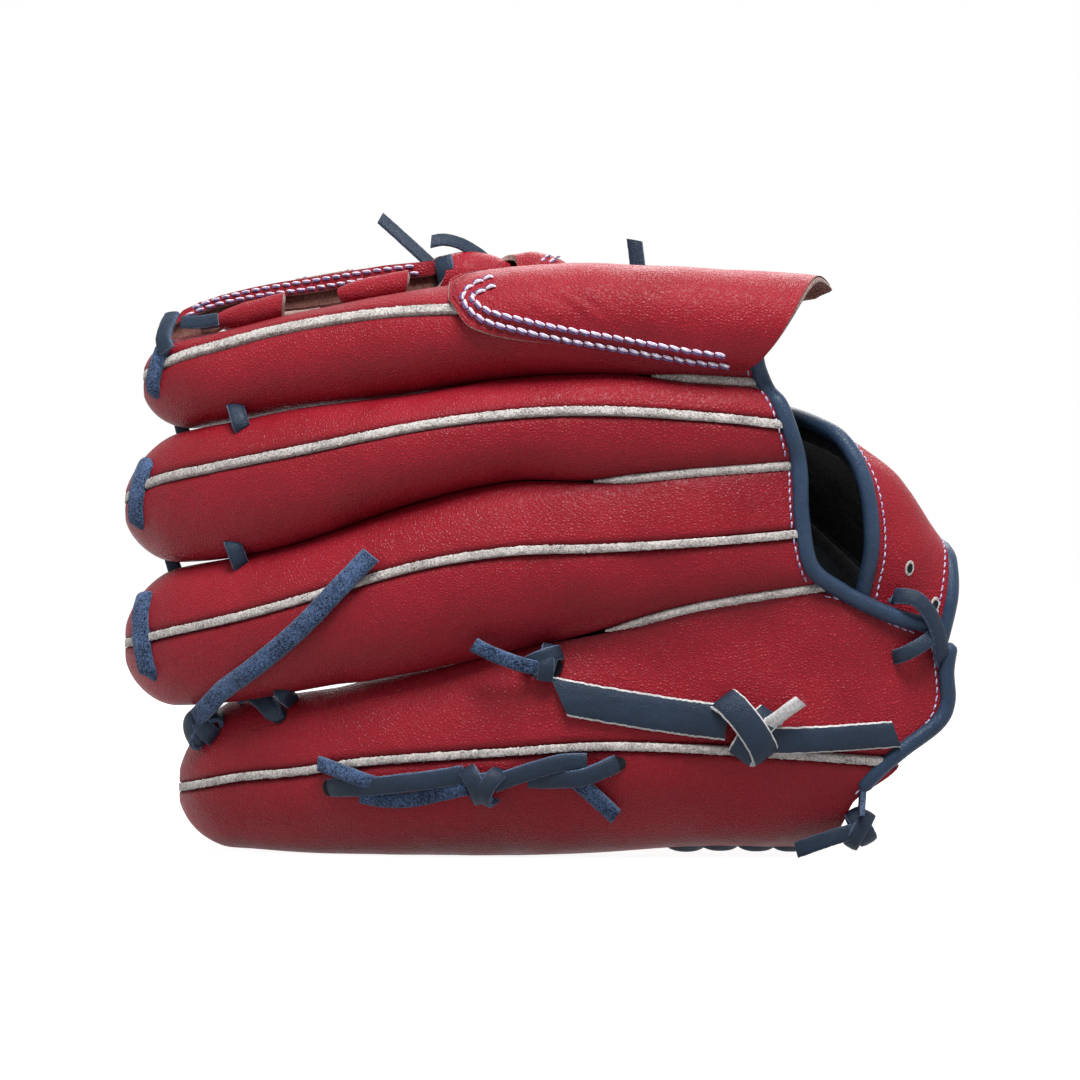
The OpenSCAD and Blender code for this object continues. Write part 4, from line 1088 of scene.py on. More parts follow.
@dataclass
class Fingers(Part):
    """The backs, fronts and welts of the five fingers."""

    along: int = 120
    across: int = 20
    puff: float = 0.4
    tuck: float = 4.4
    # Soft hollows in the backs: x, z, radius and depth.
    hollows: tuple = ((12, 79, 12, 2.6), (36, 66, 18, 1.6), (-30, 64, 16, 1.0), (94, 62, 13, 2.0),
                      (76, 76, 14, 1.0),
                      (-2, 118, 18, 1.1), (-26, 198, 12, 0.9), (64, 24, 16, 1.8), (98, 22, 10, 1.6),
                      (-70, 46, 12, 1.0),
                      (8, 24, 16, 1.2), (26, 140, 20, 0.8), (40, 100, 16, 1.0), (-96, 62, 9, 0.8),
                      (106, 50, 7, 1.2))

    def station(self, digit: Digit, t: float, x_end: float) -> float:
        """A place along a finger, closer together at the fingertip."""
        return mix(ROWS[digit][0][0] + TIP_INSET, x_end, t**TIP_CROWDING)

    def back(self, digit: Digit, upper: bool) -> Grid:
        """The grid of a back panel, from the welt to the edge."""
        edge = 1 if upper else -1

        def point(s: float, t: float) -> np.ndarray:
            """A point of the panel."""
            rough_x = self.station(digit, s, PANEL_ENDS[digit][1][1])
            rough_u = mix(place_of(digit, rough_x, section(digit, rough_x).welt_z), edge, t)
            under_binding = 0 if digit is Digit.THUMB else self.tuck
            if digit is Digit.PINKY:
                under_binding *= smoothstep((rough_u + 0.42) / 0.2)
            x = self.station(digit, s, row_at(PANEL_ENDS[digit], rough_u)[1] + under_binding)
            room = edge * (WELT_WIDTH / 2 + GAP)
            u = mix(place_of(digit, x, section(digit, x).welt_z + room), edge, t)
            return finger_point(digit, x, u,
                                closing(digit, x, not upper) * abs(math.sin(math.pi / 2 * u)) ** 8)

        return sample(point, self.along, self.across, crowd=True)

    def build_backs(self) -> None:
        """Builds both back panels of each finger."""
        for digit in Digit:
            for upper in (True, False):
                node = f"{digit.name.lower()}_back_{'upper' if upper else 'lower'}"
                grid = self.back(digit, upper)
                normals = grid_normals(grid, -TO_VIEWER if digit is Digit.THUMB else TO_VIEWER)
                welt_side = edge_distance(grid, "c")
                relief = rolled_edge(welt_side, 2.4, 1.1) + self.puff * ripple(grid, 24,
                                                                               digit.value + upper * 0.4)
                relief += 0.16 * ripple(grid, 7, digit.value * 3.0)
                if digit is not Digit.THUMB:
                    for x, z, radius, depth in self.hollows:
                        relief -= depth * np.exp(-((grid[..., 0] - x) ** 2 + (grid[..., 2] - z) ** 2)
                            / radius**2)
                relief *= np.clip(edge_distance(grid, "ad") / 6, 0, 1) * 0.8 + 0.2
                # Painted shade beside the welt and along the edge that meets the next finger, where the
                # crotch falls into shade.
                seam = 0.8 * np.exp(-welt_side / 1.1) + 0.85 * np.exp(-edge_distance(grid, "d") / 4.5)
                inner = grid + normals * (np.minimum(relief, 0) - SHELL)[..., None]
                piece = shell(node, grid + normals * relief[..., None], inner, self.finishes.lined,
                              np.clip(seam, 0, 1))
                settle(piece, "red_leather", (node,))

    def build_fronts(self) -> None:
        """Builds the fronts, which face the pocket."""
        for digit in Digit:
            node = f"{digit.name.lower()}_front"

            def point(s: float, t: float, who: Digit = digit) -> np.ndarray:
                """A point of the front, whose edges meet the next finger's."""
                x, u = self.station(who, s, CROTCH_X - GAP), mix(-1, 1, t)
                swell = (closing(who, x, u < 0) + 0.05) * abs(math.sin(math.pi / 2 * u)) ** 8
                return finger_point(who, x, u, 0 if who is Digit.PINKY and u < 0 else swell, True)

            grid = sample(point, 80, 26, crowd=True)
            normals = grid_normals(grid, TO_VIEWER if digit is Digit.THUMB else -TO_VIEWER)
            relief = (0.8 * ripple(grid, 20, 8.0 + digit.value) + 0.2 * ripple(grid, 7, 4.0)) * np.clip(
                edge_distance(grid, "abcd") / 6, 0, 1)
            # Painted shade along all the front's edges, where it meets its neighbours.
            seam = 0.8 * np.exp(-edge_distance(grid, "abcd") / 1.8)
            piece = shell(node, grid + normals * relief[..., None], grid - normals * SHELL,
                          self.finishes.lined, seam)
            settle(piece, "red_leather", (node,))

    def welt_rings(self, digit: Digit) -> list[np.ndarray]:
        """The rings of a finger's welt, with loose fibres at its edges."""
        rng = random.Random(digit.value)
        profile = ((-1, -SHELL), (-1.02, 0.1), (-0.85, 0.75), (-0.4, 0.95), (0.4, 0.95), (0.85, 0.75),
                   (1.02, 0.1), (1, -SHELL))
        rings = []
        count = 420
        start = ROWS[digit][0][0] + TIP_INSET
        for i in range(count + 1):
            x = mix(start, WELT_END[digit] + (0 if digit is Digit.THUMB else 4), (i / count) ** 1.25)
            middle = section(digit, x).welt_z
            ring = []
            for across, height in profile:
                ragged = rng.gauss(0, 0.12) if height > 0 else 0
                lift = height * WELT_PROUD / 0.9 + (rng.gauss(0, 0.07) if height > 0 else 0)
                place = place_of(digit, x, middle + (across * WELT_WIDTH / 2 + ragged))
                ring.append(finger_point(digit, x, place, lift))
            rings.append(np.array(ring))
        return rings

    def build_welts(self) -> None:
        """Builds the long welts of the fingers and the three short ones between them."""
        for digit in Digit:
            node = f"{digit.name.lower()}_welt"
            rings = self.welt_rings(digit)
            piece = make_object(node, np.concatenate(rings), tube_faces(len(rings), 8), (self.finishes.welt,))
            settle(piece, "split_welt", (node,))
        welts, rng = Gathered(), random.Random(9)
        profile = ((-1, -SHELL), (-1.1, 0), (-0.7, 0.7), (0, 0.9), (0.7, 0.7), (1.1, 0), (1, -SHELL))
        for digit in (Digit.INDEX, Digit.MIDDLE, Digit.RING):
            k, count = digit.value, 170
            start = SHORT_WELT_X[k] + SHORT_WELT_RUN * SHORT_WELT_START
            points = []
            for i in range(count + 1):
                x = mix(start, PANEL_ENDS[digit][0][1] + 4, i / count)
                r = row_at(ROWS[digit], x)
                half = max(edge_room(digit, x, True) - FINGER_GAP, 0.2)
                for across, height in profile:
                    points.append((x, r[3] - height - 0.6 + rng.gauss(0, 0.06),
                                   r[4] + across * half + rng.gauss(0, 0.1)))
            welts.add(points, len(profile))
        settle(welts.make("crotch_welts", (self.finishes.welt,)), "split_welt", ("crotch_welts",))

    def build(self) -> None:
        """Builds everything of the fingers."""
        self.build_backs()
        self.build_fronts()
        self.build_welts()


@dataclass
class Palm(Part):
    """The palm's leather from the little finger over the fold to the thumb, with pads and lining."""

    inner_edge: float = 0.16
    heel_inset: float = 4
    bend: tuple = ((30, 60, 170), (30, 80, 170))

    def layer(self, v_from: float, v_to: float, depth: float, x_from: float, inset: float, along: int = 70,
              across: int = 90) -> Grid:
        """A grid of the palm at one depth."""

        def point(s: float, t: float) -> np.ndarray:
            """A point of the layer."""
            v = mix(v_from, v_to, t)
            return palm_point(mix(x_from, row_at(PALM_ENDS, v)[1] - inset, s), v, depth)

        return sample(point, along, across)

    def build(self) -> None:
        """Builds the skin as one sheet over the fold, then what lies behind it."""
        grid = self.layer(0, 1, 0, CROTCH_X, 0)
        normals = grid_normals(grid, -TO_VIEWER)
        rim = edge_distance(grid, "abcd")
        relief = (1.3 * ripple(grid, 30, 2.0) + 0.4 * ripple(grid, 9, 5.0)) * np.clip(rim / 8, 0, 1)
        # Painted shade along the palm's rim, where it meets the other panels.
        piece = shell("palm_skin", grid + normals * relief[..., None], grid - normals * PALM,
                      self.finishes.lined,
                      0.8 * np.exp(-rim / 2))
        settle(piece, "red_leather", ("palm_leather", "thumb_palm", "fold_leather"), bends=self.bend)
        pad_depth = PALM + GAP
        lining_depth = pad_depth + PAD + GAP
        for side, low, high, x_from in (("palm", self.inner_edge, FOLD_V - 2 * FOLD_HALF, 2),
                                        ("thumb", FOLD_V + 2 * FOLD_HALF, 1 - self.inner_edge, 30)):
            for name, depth, thick, material, slot in (
                    ("pad", pad_depth, PAD, self.finishes.felt, "felt"),
                    ("lining", lining_depth, LINING, self.finishes.fleece, "lining")):
                outer = self.layer(low, high, depth, x_from, self.heel_inset, 30, 30)
                inner = self.layer(low, high, depth + thick, x_from, self.heel_inset, 30, 30)
                piece = shell(f"{side}_{name}", outer, inner, (material, material, self.finishes.fleece))
                settle(piece, slot, (f"{side}_{name}",))
        self.build_gusset()
        self.build_heel_thread()

    def build_gusset(self) -> None:
        """Builds the gusset between the first finger and the thumb."""
        grids = [sample(lambda s, t, d=depth: gusset_point(mix(*GUSSET_SPAN, s), t, d), 50,
                        50) for depth in (0, SHELL)]
        normals = grid_normals(grids[0], UP)
        relief = 0.5 * ripple(grids[0], 16, 4.0) * np.clip(edge_distance(grids[0], "abcd") / 6, 0, 1)
        # Painted shade along two of the gusset's edges, where it is sewn.
        piece = shell("gusset", grids[0] + normals * relief[..., None], grids[1], self.finishes.hide,
                      0.7 * np.exp(-edge_distance(grids[0], "cd") / 2))
        settle(piece, "red_leather", ("index_gusset", "thumb_gusset"), bends=((30, 60, 190), (30, 80, 190)))

    def build_heel_thread(self) -> None:
        """Sews two rows along the heel of the palm, one piece for each body."""
        for name, low, high, node in (("heel_thread_hand", 0.03, 0.57, "palm_leather"),
                                      ("heel_thread_thumb", 0.63, 0.97, "thumb_palm")):
            stitching = self.stitches()
            for inset in (4.0, 7.0):
                places = np.linspace(low, high, 120)
                path = np.array([palm_point(row_at(PALM_ENDS, v)[1] - inset, v, -0.3) for v in places])
                out = np.array([-across_normal(palm_places(row_at(PALM_ENDS, v)[1] - inset),
                                               v) for v in places])
                stitching.row(path, out)
            settle(stitching.build(name), "red_leather", (), rides_with=node)


@dataclass
class Hood(Part):
    """The hood over the root of the first finger, open towards the wrist."""

    thick: float = 2.0
    rows: tuple[float, float] = (2.7, 5.7)
    turn_over: float = 0.24

    def at(self, x: float, z: float, lift: float = 0.0) -> np.ndarray:
        """The point of the hood's face at x and height z."""
        low = place_of(Digit.INDEX, x, row_at(HOOD_EDGE, x)[1])
        u = min(place_of(Digit.INDEX, x, z), 1.0)
        return self.point(x, (u - low) / (1 - low), lift)

    def point(self, x: float, v: float, lift: float = 0.0) -> np.ndarray:
        """The point of the hood's face at x, from its lower edge (0) to its upper edge (1)."""
        rise = smoothstep((x - HOOD_TIP_X) / HOOD_LENGTH) * HOOD_BULGE * math.sin(math.radians(165 * v))
        u = mix(place_of(Digit.INDEX, x, row_at(HOOD_EDGE, x)[1]), 1, v)
        return finger_point(Digit.INDEX, x, u, WELT_PROUD + 2 * GAP + max(rise, 0) + self.thick + lift)

    def wrinkles(self, grid: Grid) -> np.ndarray:
        """Fine slanting creases near the hood's sewn end, which fade towards its mouth."""
        relief = np.zeros(grid.shape[:2])
        for i, row in enumerate(grid):
            for j, p in enumerate(row):
                slant = (p[0] * 0.62 + p[2] * 0.78) / 2.6
                wave = noise.noise(Vector((slant, (p[0] * 0.78 - p[2] * 0.62) / 15, 1.7)))
                near = math.exp(-((p[0] - 8) / 26) ** 2) * math.exp(-((p[2] - 189) / 9) ** 2)
                relief[i, j] = 0.55 * wave * near
        return relief

    def build(self) -> None:
        """Builds the hood and its double row of thread."""

        def point(s: float, t: float) -> np.ndarray:
            """A point of the hood, with its sewn end rounded."""
            start = HOOD_TIP_X - 1 + 9 * max(0.0, t - 0.45) ** 2 / 0.3
            mouth = row_at(HOOD_MOUTH,
                           min(t * (1 + self.turn_over), 1))[1] - 62 * max(0, t * (1 + self.turn_over) - 1)
            x = mix(start, mouth, s)
            return self.point(x, t * (1 + self.turn_over * smoothstep((x - 36) / 34)))

        grid = sample(point, 150, 50)
        normals = grid_normals(grid, TO_VIEWER)
        rim = edge_distance(grid, "ac")
        relief = self.wrinkles(grid) + 0.5 * ripple(grid, 22, 6.0) + 0.15 * ripple(grid, 6, 1.0)
        relief *= np.clip(edge_distance(grid, "abc") / 7, 0, 1)
        groove = sum(-0.45 * np.exp(-((rim - row) / 0.8) ** 2) for row in self.rows)
        # Painted shade in a band along the stitched edge, between the two rows of thread.
        piece = shell("index_hood", grid + normals * (relief + groove)[..., None],
                      grid - normals * self.thick,
                      self.finishes.hide, 0.6 * np.exp(-((rim - 4.2) / 1.6) ** 2), bevel=1.8)
        settle(piece, "red_leather", ("index_hood",))
        stitching = self.stitches(0.62)
        for inset in self.rows:
            outline = smooth_path(((-17, 201), (-24, 198.5), (-29, 194.5), (-28.6, 190), (-24.5, 185.6),
                                   (-18, 182.6),
                                   (-6, 180.2), (7, 178), (22, 176), (37, 173.9), (52, 172.1), (66, 170.8)),
                                   1.0)
            run = unit(np.gradient(outline, axis=0))
            inside = outline + inset * np.stack((-run[:, 1], run[:, 0]), axis=1)
            path = np.array([self.at(x, z, 0.25) for x, z in inside])
            out = np.array([back_normal(Digit.INDEX, x, z) for x, z in inside])
            stitching.row(path, out, fill=0.9)
        settle(stitching.build("hood_thread"), "red_leather", (), rides_with="index_hood")


@dataclass
class Edging(Part):
    """The rolled bindings round the back opening and the heel, and the thread beside them."""

    step: float = BINDING_RADIUS + GAP

    def place(self, digit: Digit, u: float) -> np.ndarray:
        """A place on the binding beyond the end of a finger's back panel."""
        x = row_at(PANEL_ENDS[digit], u)[1]
        return finger_point(digit, x, u, -SHELL / 2 + 0.6) + np.array((self.step, 0, 0))

    def build(self) -> None:
        """Builds both bindings."""
        opening = [self.place(Digit.INDEX, u) for u in (0.4, 0, -0.45, -0.9)]
        opening += [self.place(Digit.MIDDLE, u) for u in (0.85, 0.4, -0.1, -0.8)]
        opening += [self.place(Digit.RING, u) for u in (0.7, 0.1, -0.5)]
        opening += [finger_point(Digit.PINKY, x, 1) + np.array((2, -1, rise)) for x, rise in (
            (102, 1.5), (109, 0.5), (118, 1.2), (126, 2.4), (134, self.step))]
        heel = [finger_point(Digit.PINKY, 134, 1) + np.array((8, 1, -2.5))]
        heel += [self.place(Digit.PINKY, u) + np.array((GAP - 3 * smoothstep((0.1 - u) / 0.4), 0, 0))
                 for u in (0.45, 0.2, 0.05, -0.1, -0.2, -0.28, -0.36)]
        for name, points in (("opening_binding", opening), ("heel_binding", heel)):
            piece = strand(name, points, BINDING_RADIUS + 0.15, self.finishes.binding, flat=0.9, up=TO_VIEWER)
            settle(piece, "navy_binding", (name,))
        stitching = self.fine_stitches()
        for digit, low, high in ((Digit.INDEX, -0.9, 0.4), (Digit.MIDDLE, -0.95, 0.9),
                                 (Digit.RING, -0.9, 0.9),
                                 (Digit.PINKY, -0.4, 0.85)):
            places = np.linspace(high, low, 60)
            path = np.array([finger_point(digit, row_at(PANEL_ENDS[digit], u)[1] - 0.7, u,
                                          0.25) for u in places])
            stitching.row(path, np.tile(TO_VIEWER, (60, 1)), **FINE_ROW)
        upper = np.array([finger_point(Digit.PINKY, x, 0.86, 0.25) for x in np.linspace(98, 132, 60)])
        stitching.row(upper, np.tile(TO_VIEWER, (60, 1)), **FINE_ROW)
        settle(stitching.build("opening_thread"), "navy_binding", (), rides_with="opening_binding")


@dataclass
class Strap(Part):
    """The wrist strap, its fleece, its bindings and its two punched holes."""

    holes: tuple = ((128, 101.0), (137, 88.5))
    bend: tuple = ((110, 56, 140), (110, 88, 140))

    def point(self, t: float, s: float, inset: float) -> np.ndarray:
        """A point of the strap along (t) and across it (s)."""
        a, b, c = (curve_at(edge, t) for edge in (STRAP_FINGER_EDGE, STRAP_CROWN, STRAP_WRIST_EDGE))
        return curve_at((a + unit(b - a) * inset, b, c + unit(b - c) * inset), s)

    def face(self, inset: float, along: int = 90, across: int = 30) -> tuple[Grid, Grid]:
        """The strap's face and the direction out of it."""
        grid = sample(lambda t, s: self.point(t, s, inset), along, across)
        normals = unit(np.cross(np.gradient(grid, axis=0), np.gradient(grid, axis=1)))
        away = grid - np.array((100, 66, 80))
        return grid, normals if np.einsum("ijk,ijk->", normals, away) > 0 else -normals

    def build(self) -> None:
        """Builds the strap."""
        step = BINDING_RADIUS + GAP
        grid, out = self.face(1.2)
        rim = edge_distance(grid, "abcd")
        relief = (0.5 * ripple(grid, 18, 3.0) + 0.15 * ripple(grid, 6, 2.0)) * np.clip(rim / 5, 0, 1)
        # Painted shade along the strap's rim, under its bindings.
        piece = shell("wrist_strap", grid + out * relief[..., None], grid - out * STRAP, self.finishes.hide,
                      0.5 * np.exp(-rim / 1.5))
        settle(piece, "red_leather", ("wrist_strap",), bends=self.bend)
        grid, out = self.face(step * 2)
        pile = 0.5 * ripple(grid, 3, 7.0)
        piece = shell("strap_fleece", grid - out * (STRAP + GAP),
                      grid - out * (STRAP + GAP + FLEECE + pile[..., None]),
                      (self.finishes.fleece,) * 3)
        settle(piece, "lining", ("strap_fleece",), bends=self.bend)
        grid, out = self.face(0)
        edges = [grid[:, j] - out[:, j] * STRAP / 2 for j in (0, -1)]
        angles = np.linspace(0, 2 * math.pi, 16, endpoint=False)
        rolls = Gathered()
        for path in edges:
            _, side, normal = frames_along(path, out[:, 0])
            points = []
            for i, p in enumerate(path):
                points += list(p + (BINDING_RADIUS + 0.1) * (
                    np.cos(angles)[:, None] * side[i] + np.sin(angles)[:, None] * normal[i]))
            rolls.add(points, len(angles))
        settle(rolls.make("strap_bindings", (self.finishes.binding,)), "navy_binding", ("strap_bindings",),
               bends=self.bend)
        self.build_thread_and_holes()

    def build_thread_and_holes(self) -> None:
        """Sews one row along each edge and sets the rims of the punched holes."""
        grid, out = self.face(BINDING_RADIUS + GAP + 1.4)
        stitching = self.fine_stitches()
        for j in (0, -1):
            stitching.row(grid[:, j] + out[:, j] * 0.2, out[:, j], **FINE_ROW)
        settle(stitching.build("strap_thread"), "navy_binding", (), bends=self.bend)
        rims = Gathered()
        for x, z in self.holes:
            i, j = np.unravel_index(np.argmin((grid[..., 0] - x) ** 2 + (grid[..., 2] - z) ** 2),
                                    grid.shape[:2])
            lead = unit(grid[i + 1, j] - grid[i, j])
            points = eye_points(grid[i, j] + out[i, j] * 0.25, out[i, j], lead, (2.3, 1.4),
                                ((1.25, -0.3), (1.1, 0.3), (0.75, 0.35), (0.5, 0.1)), 20)
            # The outer two rings of faces are the rim, and the rest is the dark inside.
            rims.add(points, 20, [0] * 40 + [1] * 22)
        piece = rims.make("strap_holes", (self.finishes.welt, self.finishes.fleece))
        settle(piece, "red_leather", (), rides_with="palm_leather")


@dataclass
class Inside(Part):
    """Stiffeners and finger loops inside the glove."""

    def build(self) -> None:
        """Builds the hidden pieces."""
        inner = -SHELL - 2 * GAP
        for digit, x_from, x_to in ((Digit.PINKY, -108, -15), (Digit.THUMB, -82, 30)):
            node = f"{digit.name.lower()}_stiffener"
            grids = [sample(lambda s, t, d=digit, a=x_from, b=x_to,
                            h=lift: finger_point(d, mix(a, b, s), mix(-0.6, 0.6, t), h),
                            30, 12) for lift in (inner, inner - 2)]
            settle(shell(node, *grids, (self.finishes.felt,) * 3), "felt", (node,))
        depth = PALM + PAD + LINING + 3 * GAP
        for node, x_from, x_to, low, high, rise in (("inner_pinky_loop", 20, 34, 0.2, 0.3, 12),
                                                    ("inner_thumb_loop", 44, 56, 0.78, 0.88, 9)):
            grids = [sample(lambda s, t, a=x_from, b=x_to, c=low, d=high, r=rise, e=extra: palm_point(
                mix(a, b, s), mix(c, d, t), depth + e + r * max(math.sin(math.pi * t), 0) ** 0.6), 10,
                24) for extra in (0, 2)]
            settle(shell(node, *grids, self.finishes.hide), "red_leather", (node,))


@dataclass
class Web(Part):
    """The web between the first finger and the thumb, with its rolled tabs and loops."""

    bar_v: float = 0.33

    def strip(self, name: str, s_range: tuple[float, float], v_range: tuple[float, float],
              depth: tuple[float, float],
              along: int, across: int) -> bpy.types.Object:
        """A strip of the web between two depths."""
        grids = [sample(lambda s, t, d=d: web_point(mix(*s_range, s), mix(*v_range, t), d), along,
                        across) for d in depth]
        normals = unit(grids[0] - grids[1])
        relief = 0.3 * ripple(grids[0], 9, 5.5)
        # Painted shade along every edge of the strip.
        return shell(name, grids[0] + normals * relief[..., None], grids[1], self.finishes.hide,
                     0.6 * np.exp(-edge_distance(grids[0], "abcd") / 1.2))

    def build_posts(self) -> None:
        """Builds both posts in two layers, with a double row of thread on each."""
        for node, low, high in (("web_index_post", 0, POST_WIDTH), ("web_thumb_post", 1 - POST_WIDTH, 1)):
            settle(self.strip(node, (0, 1), (low + (0.06 if low == 0 else 0), high), (0, 2.1), 90, 10),
                   "red_leather", (node,))
            settle(self.under_layer(node, low, high), "red_leather", (), rides_with=node)
            stitching = self.stitches()
            for share in (0.5, 0.82):
                v = mix(low, high, share)
                places = np.linspace(0.05, 0.96, 120)
                for depth in (-0.25, WEB + 0.25):
                    path = np.array([web_point(s, v, depth) for s in places])
                    out = np.array([web_out(s, v) for s in places])
                    stitching.row(path, out if depth < 0 else -out)
            settle(stitching.build(f"{node}_thread"), "red_leather", (), rides_with=node)

    def under_layer(self, node: str, low: float, high: float) -> bpy.types.Object:
        """The post's second layer.

        Its suede edge stands out below the first, most of all at the web's tip.
        """
        at_finger = low == 0

        def edge(s: float) -> float:
            """How far the edge stands out at a place along the post, as a share of the web's width."""
            wave = 0.012 * noise.noise(Vector((s * 9, low, 2.0)))
            return 0.05 + 0.11 * (1 - smoothstep(s / 0.4)) + wave

        def point(s: float, t: float, depth: float) -> np.ndarray:
            """A point of the layer, which hangs straight down beyond the post's own edge."""
            v = mix(low - edge(s) if at_finger else low + 0.01, high - 0.01 if at_finger else high, t)
            return web_point(mix(0.01, 0.99, s), max(v, low), depth) + max(low - v,
                                                                           0) * np.array((0, -12, -56))

        grids = [sample(lambda s, t, d=depth: point(s, t, d), 90, 20) for depth in (2.3, WEB)]
        return shell(f"{node}_back", *grids, (self.finishes.flesh, self.finishes.flesh, self.finishes.cut))

    def build_bar(self) -> None:
        """Builds the crossbar and the top lace."""
        reach = (self.bar_v, 1 - POST_WIDTH - 0.014)
        bend = ((-70, 64, 200), (-70, 100, 200))
        settle(self.strip("web_crossbar", (0.42, 0.66), reach, (0, WEB), 24, 50), "red_leather",
               ("web_crossbar",), bends=bend)
        stitching = self.stitches()
        for s in (0.45, 0.63):
            places = np.linspace(*reach, 60)
            path = np.array([web_point(s, v, -0.25) for v in places])
            out = np.array([web_out(s, v) for v in places])
            stitching.row(path, out)
        settle(stitching.build("web_crossbar_thread"), "red_leather", (), bends=bend)
        lace = self.laces()
        places = np.linspace(self.bar_v - 0.1, reach[1] + 0.03, 60)
        path = np.array([web_point(TOP_LACE_S, v, 1 + LACE) for v in places])
        out = np.array([web_out(TOP_LACE_S, v) for v in places])
        lace.run(path, out, width=6)
        settle(lace.build("web_top_lace"), "navy_lace", ("web_top_lace",), bends=bend)

    def rolled(self, name: str, start: Point, end: Point, radius: float, cuts: tuple[float, float],
               narrow: tuple[float, float] = (0.0, 0.0)) -> bpy.types.Object:
        """A tab of leather rolled into a tube.

        Args:
            name: The piece's name.
            start: The middle of its first end.
            end: The middle of its second end.
            radius: Its outer radius.
            cuts: How far each end's cut leans, as a share of the radius.
            narrow: How much each end is drawn in, as a share of the radius.

        Returns:
            The object.
        """
        start, end = np.asarray(start, float), np.asarray(end, float)
        along = unit(end - start)
        side = unit(np.cross(along, UP))
        up = np.cross(side, along)
        rings, sides = 26, 40
        angles = np.linspace(0, 2 * math.pi, sides, endpoint=False)
        vertices = []
        for wall in (0.0, TAB_WALL):
            for i in range(rings + 1):
                t = i / rings
                flare = 1 - narrow[0] * max(0, 1 - 2 * t) ** 2 - narrow[1] * max(0, 2 * t - 1) ** 2
                flare += 0.04 * noise.noise(Vector((t * 4, wall, radius)))
                lean = cuts[0] * (1 - t) ** 2 + cuts[1] * t**2
                for a in angles:
                    shape = (radius * flare - wall) * (math.cos(a) * side + math.sin(a) * up)
                    vertices.append(mix(start, end, t) + shape + along * radius * lean * math.cos(a - 0.6))
        count = rings + 1
        outer = tube_faces(count, sides, caps=False)
        inner = [tuple(count * sides + q for q in f[::-1]) for f in outer]
        rims = []
        for ring, flip in ((0, False), (count - 1, True)):
            for j in range(sides):
                k = (j + 1) % sides
                quad = (ring * sides + k, ring * sides + j, (count + ring) * sides + j,
                        (count + ring) * sides + k)
                rims.append(quad[::-1] if flip else quad)
        slots = [0] * len(outer) + [1] * len(inner) + [2] * len(rims)
        return make_object(name, np.array(vertices), outer + inner + rims, self.finishes.hide, slots)

    def build_rolls(self) -> None:
        """Builds the two tabs on the finger, the loop at the web's foot and the loop in the crotch."""
        tabs = [self.rolled(f"web_tab_{number}", tab_end(place, -0.5), tab_end(place, 0.5), TAB_RADIUS * 1.06,
                            (-0.3, 0.5),
                            (0.34, 0.0))
                for number, place in enumerate(TAB_PLACES, 1)]
        settle(tabs[0], "red_leather", ("web_tabs",))
        settle(tabs[1], "red_leather", (), rides_with="web_tabs")
        loop = self.rolled("web_base_loop", (-38, 55.5, 203.6), (-11.5, 57.5, 203.6), 9.4, (0.5, 0.1),
                           (0.2, 0.42))
        settle(loop, "red_leather", ("web_base_loop",))
        loop = self.rolled("crotch_loop", (-14, 54.5, 204.8), (10.5, 55, 202.2), 9, (0.6, 0.0), (0.2, 0.4))
        settle(loop, "red_leather", ("crotch_loop",))
        stitching = self.stitches()
        for x, radius in ((0, 8.7), (3, 8.2)):
            path = np.array([(x - 3 + a / 11, 55 - radius * math.cos(math.radians(a)),
                              203.4 + radius * math.sin(math.radians(a))) for a in np.linspace(0, 85, 30)])
            out = unit(path - np.array((x, 55, 203.4)))
            stitching.row(path, out, pitch=3.2)
        settle(stitching.build("crotch_loop_thread"), "red_leather", (), rides_with="crotch_loop")

    def build(self) -> None:
        """Builds the web."""
        self.build_posts()
        self.build_bar()
        self.build_rolls()


